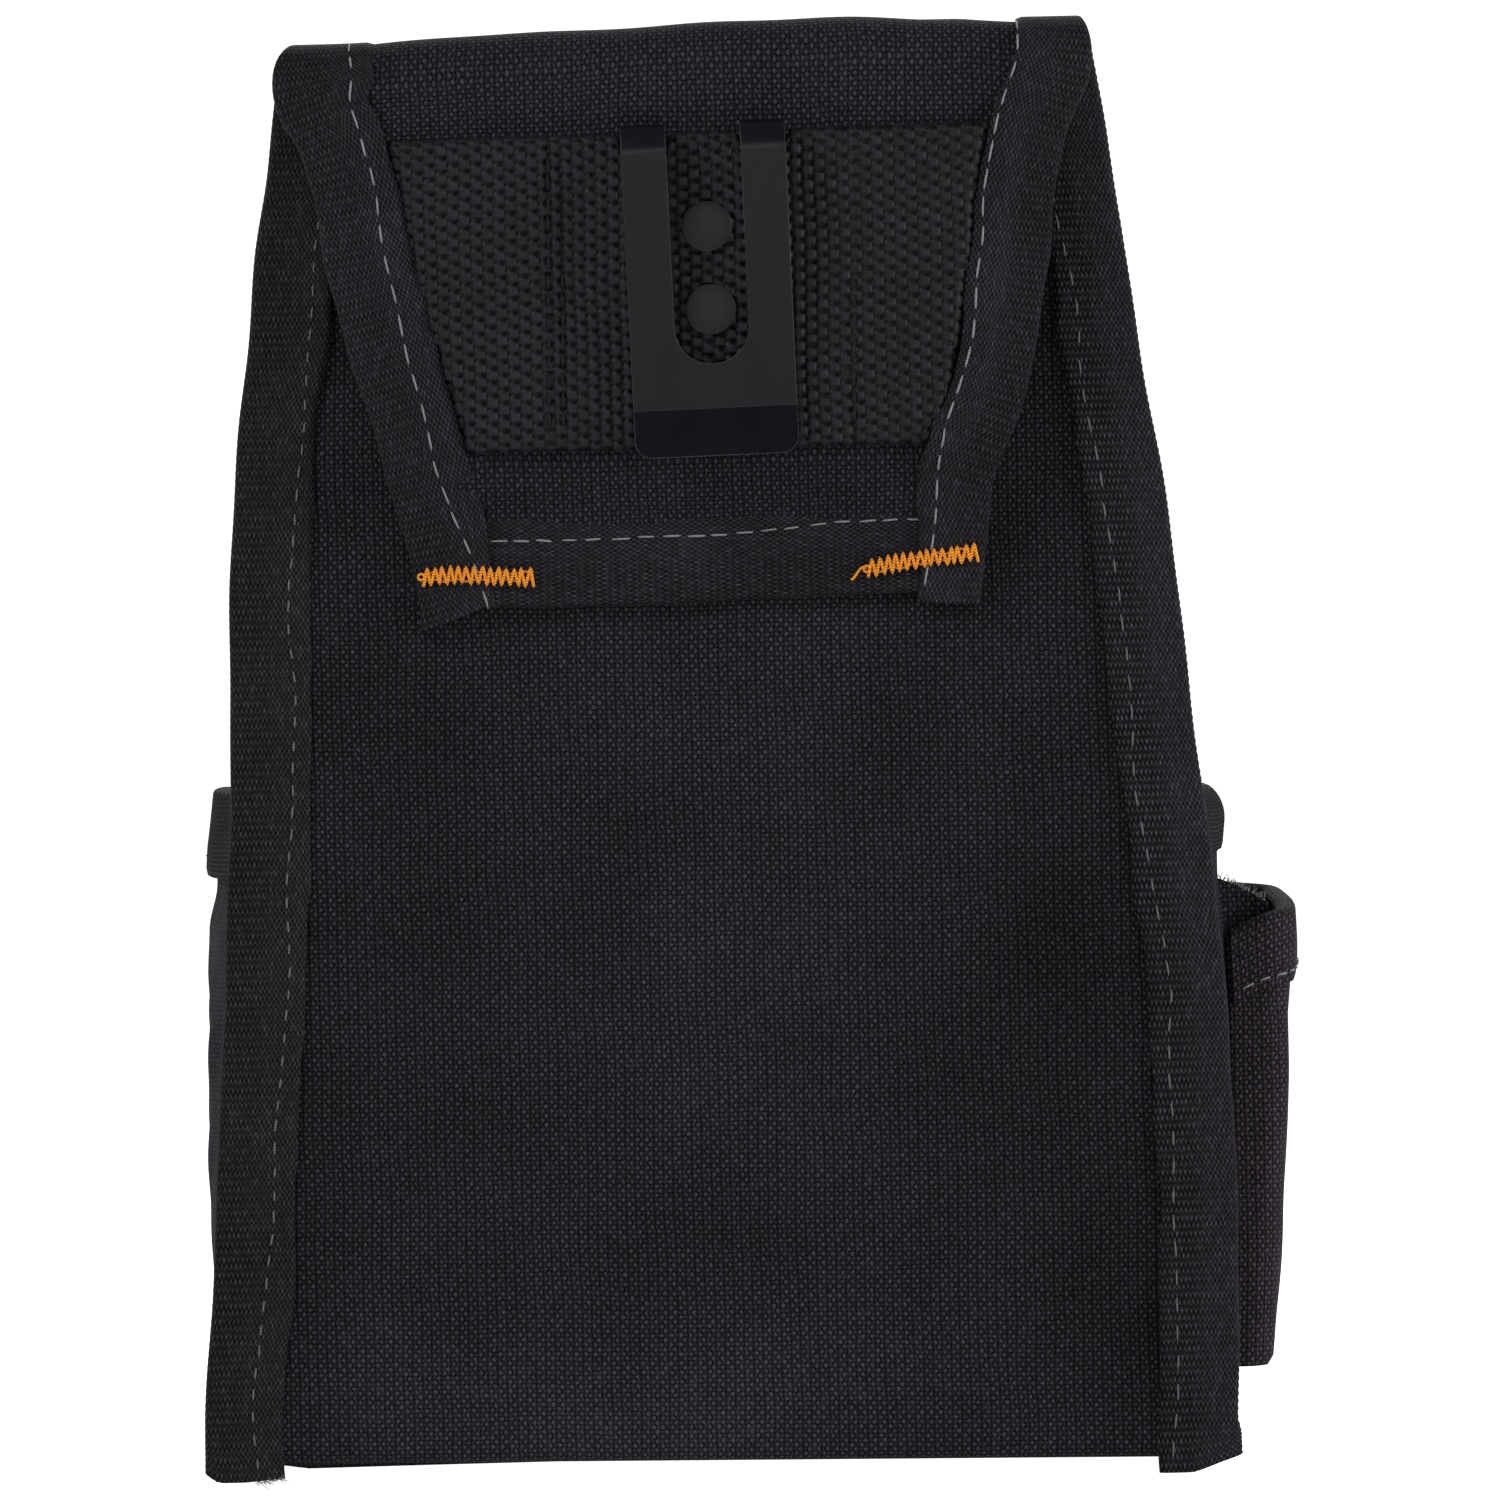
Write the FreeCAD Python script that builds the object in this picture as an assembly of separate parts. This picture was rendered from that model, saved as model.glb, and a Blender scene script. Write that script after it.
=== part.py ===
import FreeCAD, Part
import math
import os
from FreeCAD import Placement, Rotation, Vector

# Electrician's belt pouch, in millimetres and degrees.
# +Z is up as worn, -Y faces the wearer's belt, +X is the side-pocket side.
# The origin is the centre of the flat part of the base.

# Whole pouch, seen from the belt side: a taper bowed outwards
BASE_HALF_WIDTH = 84.0
TOP_HALF_WIDTH = 66.0
TAPER_HEIGHT = 235.0
SIDE_BOW = 3.3

# Woven tape that binds every raw edge
TAPE = 0.9
TAPE_WIDTH = 12.5
RIM_TAPE_WIDTH = 13.5

# Back: outer fabric, stiffener board and lining, from the belt side inwards
BACK_OUTER_Y = -34.0
BACK_INNER_Y = -31.0
FABRIC = 1.0
BOARD = 1.2
BACK_FOOT = 4.0
BACK_TOP = 228.5
BACK_CORNER = 7.0
BOARD_MARGIN = 4.0

# Main compartment
WALL = 1.6
RIM_HEIGHT = 113.5
FRONT_Y = 18.0
FRONT_CROWN = 3.0
GUSSET_HALF_WIDTH = 83.7
GUSSET_FOOT_HALF_WIDTH = 82.6
CORNER_RADIUS = 12.0
FLAT_BASE_HALF = 12.0
FRONT_FOOT_RADIUS = 12.0
BASE_SPLIT = 7.0
SEAM_X = 66.0
ABOVE_ALL = 300.0

# Bound seams that stand forward at the front corners
SEAM_RIB = 3.0
SEAM_RIB_DEPTH = 7.0

# Belt flap: folds over the top and is tacked to the back below the belt
FLAP = 1.4
FOLD_RADIUS = 6.5
FOLD_HEIGHT = 228.5
FLAP_LAP = 12.0
TUNNEL_TOP_GAP = 10.0
TUNNEL_LOW_GAP = 6.5
TUNNEL_LOW = 166.0
TACK_TOP = 150.0
FLAP_HEM = 143.7
FLAP_TAIL = 138.7
FLAP_TAPE_WIDTH = 13.5
FLAP_HEM_TOP = 156.8
# Half-width of the flap at a few heights, from its tails up to the fold
FLAP_EDGE = [(137.0, 46.0), (150.0, 47.3), (170.0, 52.3), (195.0, 58.8), (219.0, 61.7), (237.0, 66.0)]

# Bar tacks at the flap's lower corners
TACK_LENGTH = 17.5
TACK_HEIGHT = 3.0
TACK_THREAD = 0.5
TACK_CENTRE = 36.0
TACK_LEVEL = 148.0

# Two-inch webbing band across the flap
WEBBING = 2.8
WEBBING_LOW = 167.2
WEBBING_HIGH = 218.0

# Steel spring clip, measured down from the top of its bend
STEEL = 1.0
CLIP_WIDTH = 26.3
CLIP_X = 1.7
CLIP_TOP = 219.4
CLIP_LEAN = 1.4
BEND_INNER_RADIUS = 3.5
SLOT_WIDTH = 11.9
SLOT_DEPTH = 38.6
PLATE_LENGTH = 37.0
PLATE_SLOT_DEPTH = 12.5
LIP_BEND = 45.7
LIP_END = 53.3
TONGUE_PITCH = 5.5
LIP_FLARE = 30.0
LIP_CORNER = 2.8
HINGE_GAP = 0.02

# Rivets that hold the clip
RIVET_DEPTHS = [16.6, 29.9]
RIVET_HOLE = 1.6
CAP_RADIUS = 4.0
CAP_RIM = 0.7
CAP_RISE = 0.3
WASHER = 0.6
WASHER_RADIUS = 4.0
TAIL_RADIUS = 2.4

# Front pocket: three gathered bays stitched to the front panel
FRONT_PLY = 1.4
BAY_EDGES = [-62.0, -23.0, 23.0, 62.0]
BAY_LOW = 9.0
BAY_HIGH = 84.0
BAY_DEPTHS_LOW = [5.0, 6.0, 5.0]
BAY_DEPTHS_HIGH = [20.0, 24.0, 20.0]
BAY_FOOT_Y = 17.0
BAY_JOIN = 1.0

# Side pocket on the right gusset, with a slanted mouth
POCKET_PLY = 1.5
POCKET_FOOT = 16.0
POCKET_TOP = 105.0
POCKET_BACK_Y = -23.0
POCKET_FRONT_Y = 13.0
POCKET_FOOT_X = 90.3
POCKET_TOP_X = 97.0
POCKET_CORNER = 4.5
POCKET_INSIDE_X = 70.0
MOUTH_BACK = 91.0
MOUTH_FRONT = 97.0
HEM_PLY = 0.8
HEM_WIDTH = 11.0
FACING_Y = -18.5
FACING_LOW = 60.0
FACING_INNER_X = 79.0
FACING_OUTER_X = 90.0
FACING_INNER_TOP = 98.5
FACING_OUTER_TOP = 94.0


def line(start, end):
    return Part.LineSegment(start, end).toShape()


def arc(start, middle, end):
    return Part.Arc(start, middle, end).toShape()


def face(edges):
    return Part.Face(Part.Wire(edges))


def polygon(points):
    return Part.Face(Part.makePolygon(points + [points[0]]))


def box(low, high):
    size = Vector(*high) - Vector(*low)
    return Part.makeBox(size.x, size.y, size.z, Vector(*low))


def mirrored(shape):
    return shape.mirror(Vector(0, 0, 0), Vector(1, 0, 0))


def half_width(height):
    """Half the pouch's width at a height above the base."""
    share = height / TAPER_HEIGHT
    taper = BASE_HALF_WIDTH + (TOP_HALF_WIDTH - BASE_HALF_WIDTH) * share
    return taper + 4 * SIDE_BOW * share * (1 - share)


def side_arc(inset, low, high):
    """The right edge, moved inwards, from one height to another."""
    heights = [low, (low + high) / 2, high]
    return arc(*[Vector(half_width(z) - inset, 0, z) for z in heights])


def panel_face(inset, low, high, corner):
    """The pouch's outline in the XZ plane, with rounded top corners."""
    right = side_arc(inset, low, high - corner)
    foot = half_width(low) - inset
    shoulder = half_width(high - corner) - inset
    middle = corner * (1 - math.sqrt(0.5))
    shoulder_point = Vector(shoulder, 0, high - corner)
    corner_middle = Vector(shoulder - middle, 0, high - middle)
    top_point = Vector(shoulder - corner, 0, high)
    top_left = Vector(-top_point.x, 0, high)
    left_middle = Vector(-corner_middle.x, 0, corner_middle.z)
    left_shoulder = Vector(-shoulder, 0, high - corner)
    edges = [line(Vector(-foot, 0, low), Vector(foot, 0, low)), right]
    edges.append(arc(shoulder_point, corner_middle, top_point))
    edges.append(line(top_point, top_left))
    edges.append(arc(top_left, left_middle, left_shoulder))
    edges.append(mirrored(right))
    return face(edges)


def layer(outline, back, front):
    """A flat layer with an XZ outline, between two depths."""
    solid = outline.extrude(Vector(0, front - back, 0))
    return solid.translated(Vector(0, back, 0))


def side_band(outer_inset, inner_inset, low, high, back, front):
    """A strip that follows the right edge, with a rectangular section."""
    outer = side_arc(outer_inset, low, high)
    inner = side_arc(inner_inset, low, high)
    top = line(outer.Vertexes[-1].Point, inner.Vertexes[-1].Point)
    foot = line(inner.Vertexes[0].Point, outer.Vertexes[0].Point)
    return layer(face([outer, top, inner, foot]), back, front)


def plan_wire(height, inset, gusset):
    """The main compartment's plan at a height: bowed sides, rounded front corners."""
    seam = half_width(height) - TAPE - inset
    bulge = gusset - inset
    radius = CORNER_RADIUS - inset
    front = FRONT_Y - inset
    turn = radius * (1 - math.sqrt(0.5))
    side_end = gusset - inset - 1.0
    edges = []
    start = Vector(seam, BACK_INNER_Y, height)
    side_middle = Vector(bulge, (BACK_INNER_Y + front - radius) / 2, height)
    side_point = Vector(side_end, front - radius, height)
    corner = Vector(side_end - turn, front - turn, height)
    front_point = Vector(side_end - radius, front, height)
    crown = Vector(0, front + FRONT_CROWN, height)
    flip = [Vector(-p.x, p.y, p.z) for p in (front_point, corner, side_point, side_middle, start)]
    edges.append(arc(start, side_middle, side_point))
    edges.append(arc(side_point, corner, front_point))
    edges.append(arc(front_point, crown, flip[0]))
    edges.append(arc(flip[0], flip[1], flip[2]))
    edges.append(arc(flip[2], flip[3], flip[4]))
    edges.append(line(flip[4], start))
    return Part.Wire(edges)


def foot_profile(inset):
    """The compartment's side view: a foot that sags from the back fold to a flat base."""
    back = BACK_INNER_Y - 1.0
    deep = FLAT_BASE_HALF + FRONT_FOOT_RADIUS
    turn = FRONT_FOOT_RADIUS * math.sqrt(0.5)
    fold = Vector(-ABOVE_ALL, back, BACK_FOOT + inset)
    sag = Vector(-ABOVE_ALL, (back - FLAT_BASE_HALF) / 2, BACK_FOOT / 4 + inset)
    flat_back = Vector(-ABOVE_ALL, -FLAT_BASE_HALF, inset)
    flat_front = Vector(-ABOVE_ALL, FLAT_BASE_HALF, inset)
    turn_point = Vector(-ABOVE_ALL, FLAT_BASE_HALF + turn, FRONT_FOOT_RADIUS - turn + inset)
    front_foot = Vector(-ABOVE_ALL, deep, FRONT_FOOT_RADIUS + inset)
    front_top = Vector(-ABOVE_ALL, deep, ABOVE_ALL)
    back_top = Vector(-ABOVE_ALL, back, ABOVE_ALL)
    edges = [arc(fold, sag, flat_back), line(flat_back, flat_front)]
    edges.append(arc(flat_front, turn_point, front_foot))
    edges.append(line(front_foot, front_top))
    edges.append(line(front_top, back_top))
    edges.append(line(back_top, fold))
    return face(edges).extrude(Vector(2 * ABOVE_ALL, 0, 0))


def compartment(inset, top):
    """A solid of the main compartment, shrunk by an inset on the sides, front and base."""
    widths = [GUSSET_FOOT_HALF_WIDTH, GUSSET_HALF_WIDTH, GUSSET_HALF_WIDTH]
    heights = [0.0, top / 2, top]
    wires = [plan_wire(z, inset, w) for z, w in zip(heights, widths)]
    return Part.makeLoft(wires, True, False).common(foot_profile(inset))


def flap_section(inner, outer, low):
    """The flap's side view between two offsets from its tunnel face."""
    fold_back = BACK_OUTER_Y - TUNNEL_TOP_GAP
    fold_middle = BACK_INNER_Y - FOLD_RADIUS

    def path(offset):
        lap = BACK_INNER_Y + offset
        return [
            Vector(-ABOVE_ALL, lap, FOLD_HEIGHT - FLAP_LAP),
            Vector(-ABOVE_ALL, lap, FOLD_HEIGHT),
            Vector(-ABOVE_ALL, fold_middle, FOLD_HEIGHT + FOLD_RADIUS + offset),
            Vector(-ABOVE_ALL, fold_back - offset, FOLD_HEIGHT),
            Vector(-ABOVE_ALL, BACK_OUTER_Y - TUNNEL_LOW_GAP - offset, TUNNEL_LOW),
            Vector(-ABOVE_ALL, BACK_OUTER_Y - TAPE - offset, TACK_TOP),
            Vector(-ABOVE_ALL, BACK_OUTER_Y - TAPE - offset, low),
        ]

    def edges(p):
        return [line(p[0], p[1]), arc(p[1], p[2], p[3]), line(p[3], p[4]), line(p[4], p[5]), line(p[5], p[6])]

    near = path(outer)
    far = path(inner)
    loop = edges(near) + [line(near[-1], far[-1])] + edges(far)[::-1] + [line(far[0], near[0])]
    return face(loop).extrude(Vector(2 * ABOVE_ALL, 0, 0))


def flap_outline(inset):
    """The flap's outline, narrowed by an inset, as a prism through the whole depth."""
    points = [Vector(x - inset, 0, z) for z, x in FLAP_EDGE]
    curve = Part.BSplineCurve()
    curve.interpolate(points)
    right = curve.toShape()
    foot, top = points[0], points[-1]
    across_top = line(top, Vector(-top.x, 0, top.z))
    across_foot = line(Vector(-foot.x, 0, foot.z), foot)
    return layer(face([right, across_top, mirrored(right), across_foot]), -ABOVE_ALL, ABOVE_ALL)


def clip_placement():
    """Where the clip stands: on the flap's outer face, leaning a little to one side."""
    pitch = (TUNNEL_TOP_GAP - TUNNEL_LOW_GAP) / (FOLD_HEIGHT - TUNNEL_LOW)
    face_y = BACK_OUTER_Y - TUNNEL_TOP_GAP - FLAP + (FOLD_HEIGHT - CLIP_TOP) * pitch
    tilt = Rotation(Vector(1, 0, 0), math.degrees(math.atan(pitch)))
    lean = Rotation(Vector(0, 1, 0), -CLIP_LEAN)
    return Placement(Vector(CLIP_X, face_y, CLIP_TOP), tilt * lean)


def clip_slot(depth):
    """A round-ended slot, open at the top, through everything behind and before it."""
    radius = SLOT_WIDTH / 2
    straight = box((-radius, -ABOVE_ALL, radius - depth), (radius, ABOVE_ALL, ABOVE_ALL))
    start = Vector(0, -ABOVE_ALL, radius - depth)
    return straight.fuse(Part.makeCylinder(radius, 2 * ABOVE_ALL, start, Vector(0, 1, 0)))


def clip_posts(radius, start, end):
    """Round bars on the rivet axes; start and end are depths behind the wearer's side."""
    bars = []
    for depth in RIVET_DEPTHS:
        bars.append(Part.makeCylinder(radius, end - start, Vector(0, start, -depth), Vector(0, 1, 0)))
    return bars


def make_clip_back_plate():
    """Plate behind the webbing, with the two bends that curl over the webbing's top."""
    half = CLIP_WIDTH / 2
    outer = BEND_INNER_RADIUS + STEEL
    plate = box((-half, -STEEL, -PLATE_LENGTH), (half, 0, -outer))
    centre = Vector(-half, -outer, -outer)
    along = Vector(1, 0, 0)
    bend = Part.makeCylinder(outer, CLIP_WIDTH, centre, along)
    bend = bend.cut(Part.makeCylinder(BEND_INNER_RADIUS, CLIP_WIDTH, centre, along))
    bend = bend.common(box((-half, -2 * outer, -outer), (half, 0, 0)))
    shape = plate.fuse(bend).removeSplitter().cut(clip_slot(PLATE_SLOT_DEPTH))
    for post in clip_posts(RIVET_HOLE, -STEEL, 0):
        shape = shape.cut(post)
    shape.Placement = clip_placement()
    return shape


def make_clip_tongue():
    """Sprung tongue: two legs, a solid foot and a lip that flares away from the pouch."""
    half = CLIP_WIDTH / 2
    outer = 2 * (BEND_INNER_RADIUS + STEEL)
    top = -(BEND_INNER_RADIUS + STEEL) - HINGE_GAP
    drop = (LIP_BEND + top) * math.tan(math.radians(TONGUE_PITCH))
    flare = (LIP_END - LIP_BEND) * math.tan(math.radians(LIP_FLARE))
    side = [
        Vector(-half, -outer, top),
        Vector(-half, -outer + STEEL, top),
        Vector(-half, -outer + STEEL + drop, -LIP_BEND),
        Vector(-half, -outer + STEEL + drop - flare, -LIP_END),
        Vector(-half, -outer + drop - flare, -LIP_END),
        Vector(-half, -outer + drop, -LIP_BEND),
    ]
    shape = polygon(side).extrude(Vector(CLIP_WIDTH, 0, 0)).cut(clip_slot(SLOT_DEPTH))
    corner = LIP_CORNER
    for sign in (-1, 1):
        square = box((half - corner, -ABOVE_ALL, -LIP_END - 1), (half + 1, ABOVE_ALL, -LIP_END + corner))
        centre = Vector(half - corner, -ABOVE_ALL, -LIP_END + corner)
        tool = square.cut(Part.makeCylinder(corner, 2 * ABOVE_ALL, centre, Vector(0, 1, 0)))
        shape = shape.cut(tool if sign > 0 else mirrored(tool))
    shape.Placement = clip_placement()
    return shape


def hinge_line():
    """The tongue's hinge point and axis, at the outer edge of its top end."""
    place = clip_placement()
    reach = BEND_INNER_RADIUS + STEEL
    point = place.multVec(Vector(0, -2 * reach, -reach))
    return point, place.Rotation.multVec(Vector(-1, 0, 0))


def flap_skin():
    """The flap's thickness square to its slanted face."""
    pitch = (TUNNEL_TOP_GAP - TUNNEL_LOW_GAP) / (FOLD_HEIGHT - TUNNEL_LOW)
    return FLAP * math.cos(math.atan(pitch))


def make_clip_rivets():
    """Two rivets: a low domed cap outside, a shank and a peened tail inside the tunnel."""
    shape = None
    dome_radius = (CAP_RADIUS ** 2 + CAP_RISE ** 2) / (2 * CAP_RISE)
    for depth in RIVET_DEPTHS:
        axis = Vector(0, -1, 0)
        seat = Vector(0, -WEBBING, -depth)
        cap = Part.makeCylinder(CAP_RADIUS, CAP_RIM + CAP_RISE, seat, axis)
        centre = Vector(0, -WEBBING - CAP_RIM - CAP_RISE + dome_radius, -depth)
        cap = cap.common(Part.makeSphere(dome_radius, centre))
        tail_start = flap_skin() + WASHER
        shank = Part.makeCylinder(RIVET_HOLE, WEBBING + tail_start, Vector(0, tail_start, -depth), axis)
        tail = Part.makeCylinder(TAIL_RADIUS, WASHER, Vector(0, tail_start + WASHER, -depth), axis)
        rivet = cap.fuse(shank).fuse(tail).removeSplitter()
        shape = rivet if shape is None else Part.makeCompound([shape, rivet])
    shape.Placement = clip_placement()
    return shape


def make_rivet_washers():
    """Washers between the flap and the rivet tails."""
    start = flap_skin()
    discs = clip_posts(WASHER_RADIUS, start, start + WASHER)
    holes = clip_posts(RIVET_HOLE, start, start + WASHER)
    shape = Part.makeCompound([disc.cut(hole) for disc, hole in zip(discs, holes)])
    shape.Placement = clip_placement()
    return shape


def rivet_bores():
    """Holes for the rivet shanks through the flap and the webbing."""
    shape = Part.makeCompound(clip_posts(RIVET_HOLE, -ABOVE_ALL / 10, ABOVE_ALL / 30))
    shape.Placement = clip_placement()
    return shape


def back_stack():
    """The space of all three back layers together."""
    return layer(panel_face(TAPE, BACK_FOOT, BACK_TOP, BACK_CORNER), BACK_OUTER_Y, BACK_INNER_Y)


def make_back_layers():
    outline = panel_face(TAPE, BACK_FOOT, BACK_TOP, BACK_CORNER)
    board_face = panel_face(TAPE + BOARD_MARGIN, BACK_FOOT + BOARD_MARGIN, BACK_TOP - BOARD_MARGIN, BACK_CORNER)
    board_y = BACK_OUTER_Y + FABRIC
    lining_y = board_y + BOARD
    return {
        "back_panel": layer(outline, BACK_OUTER_Y, board_y),
        "back_stiffener": layer(board_face, board_y, lining_y),
        "back_lining": layer(outline, lining_y, BACK_INNER_Y),
    }


def make_flap():
    """Belt flap with its side and hem tapes, cut to meet face to face."""
    bores = rivet_bores()
    flap = flap_section(0, FLAP, FLAP_HEM).common(flap_outline(TAPE)).cut(bores)
    tape_zone = flap_section(-TAPE, FLAP + TAPE, FLAP_TAIL).cut(flap).cut(back_stack())
    sides = tape_zone.common(flap_outline(0).cut(flap_outline(FLAP_TAPE_WIDTH)))
    left_half = box((-ABOVE_ALL, -ABOVE_ALL, 0), (0, ABOVE_ALL, ABOVE_ALL))
    right_half = box((0, -ABOVE_ALL, 0), (ABOVE_ALL, ABOVE_ALL, ABOVE_ALL))
    hem_slab = box((-ABOVE_ALL, -ABOVE_ALL, FLAP_HEM - TAPE), (ABOVE_ALL, 0, FLAP_HEM_TOP))
    hem_zone = flap_section(-TAPE, FLAP + TAPE, FLAP_TAIL).cut(flap)
    hem = hem_zone.common(flap_outline(FLAP_TAPE_WIDTH)).common(hem_slab).cut(back_stack())
    return {
        "belt_flap": flap,
        "flap_binding_left": sides.common(left_half),
        "flap_binding_right": sides.common(right_half),
        "flap_hem_binding": hem,
    }


def make_webbing_band(plate):
    """Webbing band on the flap, laid over the clip's plate, ends under the side tapes."""
    slab = flap_section(FLAP, FLAP + WEBBING, FLAP_TAIL).common(flap_outline(FLAP_TAPE_WIDTH))
    band = slab.common(box((-ABOVE_ALL, -ABOVE_ALL, WEBBING_LOW), (ABOVE_ALL, BACK_OUTER_Y, WEBBING_HIGH)))
    return band.cut(plate).cut(rivet_bores())


def make_bar_tack(sign):
    """A dense bar of zigzag thread that holds one lower corner of the flap."""
    face_y = BACK_OUTER_Y - 2 * TAPE - FLAP
    half = TACK_LENGTH / 2
    low = (TACK_CENTRE - half, face_y - TACK_THREAD, TACK_LEVEL - TACK_HEIGHT / 2)
    high = (TACK_CENTRE + half, face_y, TACK_LEVEL + TACK_HEIGHT / 2)
    tack = box(low, high)
    return tack if sign > 0 else mirrored(tack)


def make_back_binding(stack, flap_parts):
    """Right-hand tape round the back's edge, with a tail that hangs below the fold."""
    top = BACK_TOP - BACK_CORNER
    tape = side_band(0, TAPE_WIDTH, 0, top, BACK_OUTER_Y - TAPE, BACK_INNER_Y).cut(stack)
    inner_leg = side_band(0, TAPE_WIDTH, RIM_HEIGHT + TAPE, top, BACK_INNER_Y, BACK_INNER_Y + TAPE)
    tape = tape.fuse(inner_leg)
    for shape in flap_parts:
        tape = tape.cut(shape)
    return tape.removeSplitter()


def make_compartment_walls(outer, inner):
    """Base, two gussets and front panel, split from one shell."""
    shell = outer.cut(inner).common(box((-ABOVE_ALL, -ABOVE_ALL, 0), (ABOVE_ALL, ABOVE_ALL, RIM_HEIGHT)))
    low = box((-ABOVE_ALL, -ABOVE_ALL, -1), (ABOVE_ALL, ABOVE_ALL, BASE_SPLIT))
    upper = shell.cut(low)
    right = box((SEAM_X, -ABOVE_ALL, 0), (ABOVE_ALL, ABOVE_ALL, ABOVE_ALL))
    centre = box((-SEAM_X, 0, 0), (SEAM_X, ABOVE_ALL, ABOVE_ALL))
    return {
        "bottom_panel": shell.common(low),
        "right_gusset": upper.common(right),
        "left_gusset": upper.common(mirrored(right)),
        "front_panel": upper.common(centre),
    }


def make_front_binding(outer):
    """Bound seam that stands forward along the right front corner."""
    low = (SEAM_X - SEAM_RIB / 2, 0, BASE_SPLIT)
    high = (SEAM_X + SEAM_RIB / 2, FRONT_Y + SEAM_RIB_DEPTH, RIM_HEIGHT - RIM_TAPE_WIDTH)
    return box(low, high).cut(outer)


def make_main_rim_binding(walls):
    """Tape folded over the rim of the gussets and the front panel."""
    low = (-ABOVE_ALL, BACK_INNER_Y + TAPE, RIM_HEIGHT - RIM_TAPE_WIDTH)
    high = (ABOVE_ALL, ABOVE_ALL, RIM_HEIGHT + TAPE)
    ring = compartment(-TAPE, high[2]).cut(compartment(WALL + TAPE, high[2])).common(box(low, high))
    for shape in walls:
        ring = ring.cut(shape)
    return ring


def bay_solid(left, right, inset, low, high):
    """All three front-pocket bays, shrunk by an inset."""
    bays = None
    span = BAY_HIGH - BAY_LOW
    for index in range(3):
        wires = []
        for height in (low, high):
            share = (height - BAY_LOW) / span
            deep = BAY_DEPTHS_LOW[index] + (BAY_DEPTHS_HIGH[index] - BAY_DEPTHS_LOW[index]) * share
            start = BAY_EDGES[index] - left + inset
            end = BAY_EDGES[index + 1] + right - inset
            crown = Vector((start + end) / 2, FRONT_Y + FRONT_CROWN + deep - inset, height)
            first = Vector(start, BAY_FOOT_Y, height)
            last = Vector(end, BAY_FOOT_Y, height)
            wires.append(Part.Wire([arc(first, crown, last), line(last, first)]))
        bay = Part.makeLoft(wires, True, True)
        bays = bay if bays is None else bays.fuse(bay)
    return bays


def make_front_pocket(outer):
    """Pleated front-pocket ply and the tape over its rim."""
    skin = bay_solid(BAY_JOIN, BAY_JOIN, 0, BAY_LOW, BAY_HIGH)
    hollow = bay_solid(BAY_JOIN, BAY_JOIN, FRONT_PLY, BAY_LOW + FRONT_PLY, BAY_HIGH)
    pocket = skin.cut(hollow).cut(outer)
    low = BAY_HIGH - RIM_TAPE_WIDTH
    high = BAY_HIGH + TAPE
    tape = bay_solid(BAY_JOIN, BAY_JOIN, -TAPE, low, high)
    tape = tape.cut(bay_solid(BAY_JOIN, BAY_JOIN, FRONT_PLY + TAPE, low, high)).cut(outer).cut(pocket)
    return {"front_pocket": pocket, "front_pocket_rim_binding": tape}


def pocket_wire(height, inset):
    """The side pocket's plan at a height: a box with rounded outer corners."""
    share = (height - POCKET_FOOT) / (POCKET_TOP - POCKET_FOOT)
    out = POCKET_FOOT_X + (POCKET_TOP_X - POCKET_FOOT_X) * share - inset
    back = POCKET_BACK_Y + inset
    front = POCKET_FRONT_Y - inset
    radius = POCKET_CORNER - inset
    turn = radius * (1 - math.sqrt(0.5))
    points = [
        Vector(POCKET_INSIDE_X, back, height),
        Vector(out - radius, back, height),
        Vector(out - turn, back + turn, height),
        Vector(out, back + radius, height),
        Vector(out, front - radius, height),
        Vector(out - turn, front - turn, height),
        Vector(out - radius, front, height),
        Vector(POCKET_INSIDE_X, front, height),
    ]
    edges = [line(points[0], points[1]), arc(*points[1:4]), line(points[3], points[4])]
    edges += [arc(*points[4:7]), line(points[6], points[7]), line(points[7], points[0])]
    return Part.Wire(edges)


def pocket_block(inset, low):
    return Part.makeLoft([pocket_wire(low, inset), pocket_wire(POCKET_TOP, inset)], True, True)


def mouth_slab(depth):
    """The space above a slanted plane that lies a depth below the pocket's mouth."""
    slope = (MOUTH_FRONT - MOUTH_BACK) / (POCKET_FRONT_Y - POCKET_BACK_Y)
    back = -ABOVE_ALL / 2
    low = MOUTH_BACK - depth + (back - POCKET_BACK_Y) * slope
    high = MOUTH_BACK - depth + (-back - POCKET_BACK_Y) * slope
    side = [Vector(0, back, low), Vector(0, -back, high), Vector(0, -back, ABOVE_ALL), Vector(0, back, ABOVE_ALL)]
    return polygon(side).extrude(Vector(ABOVE_ALL, 0, 0))


def make_side_pocket(outer):
    """Side pocket: wall, base, outer hem and the facing that shows in its mouth."""
    above = mouth_slab(0)
    hollow = pocket_block(POCKET_PLY, POCKET_FOOT)
    shell = pocket_block(0, POCKET_FOOT).cut(hollow).cut(outer)
    base_slab = box((0, -ABOVE_ALL, 0), (ABOVE_ALL, ABOVE_ALL, POCKET_FOOT + POCKET_PLY))
    base = pocket_block(0, POCKET_FOOT).common(base_slab).cut(outer)
    wall = shell.cut(above).cut(base_slab)
    hem = pocket_block(-HEM_PLY, POCKET_FOOT).cut(pocket_block(0, POCKET_FOOT)).cut(outer)
    hem = hem.cut(above).common(mouth_slab(HEM_WIDTH))
    facing_points = [
        Vector(FACING_INNER_X, FACING_Y, FACING_LOW),
        Vector(FACING_OUTER_X, FACING_Y, FACING_LOW),
        Vector(FACING_OUTER_X, FACING_Y, FACING_OUTER_TOP),
        Vector(FACING_INNER_X, FACING_Y, FACING_INNER_TOP),
    ]
    facing = polygon(facing_points).extrude(Vector(0, FABRIC, 0)).cut(outer)
    return {
        "side_pocket_wall": wall,
        "side_pocket_base": base,
        "side_pocket_hem": hem,
        "side_pocket_facing": facing,
    }


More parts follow.
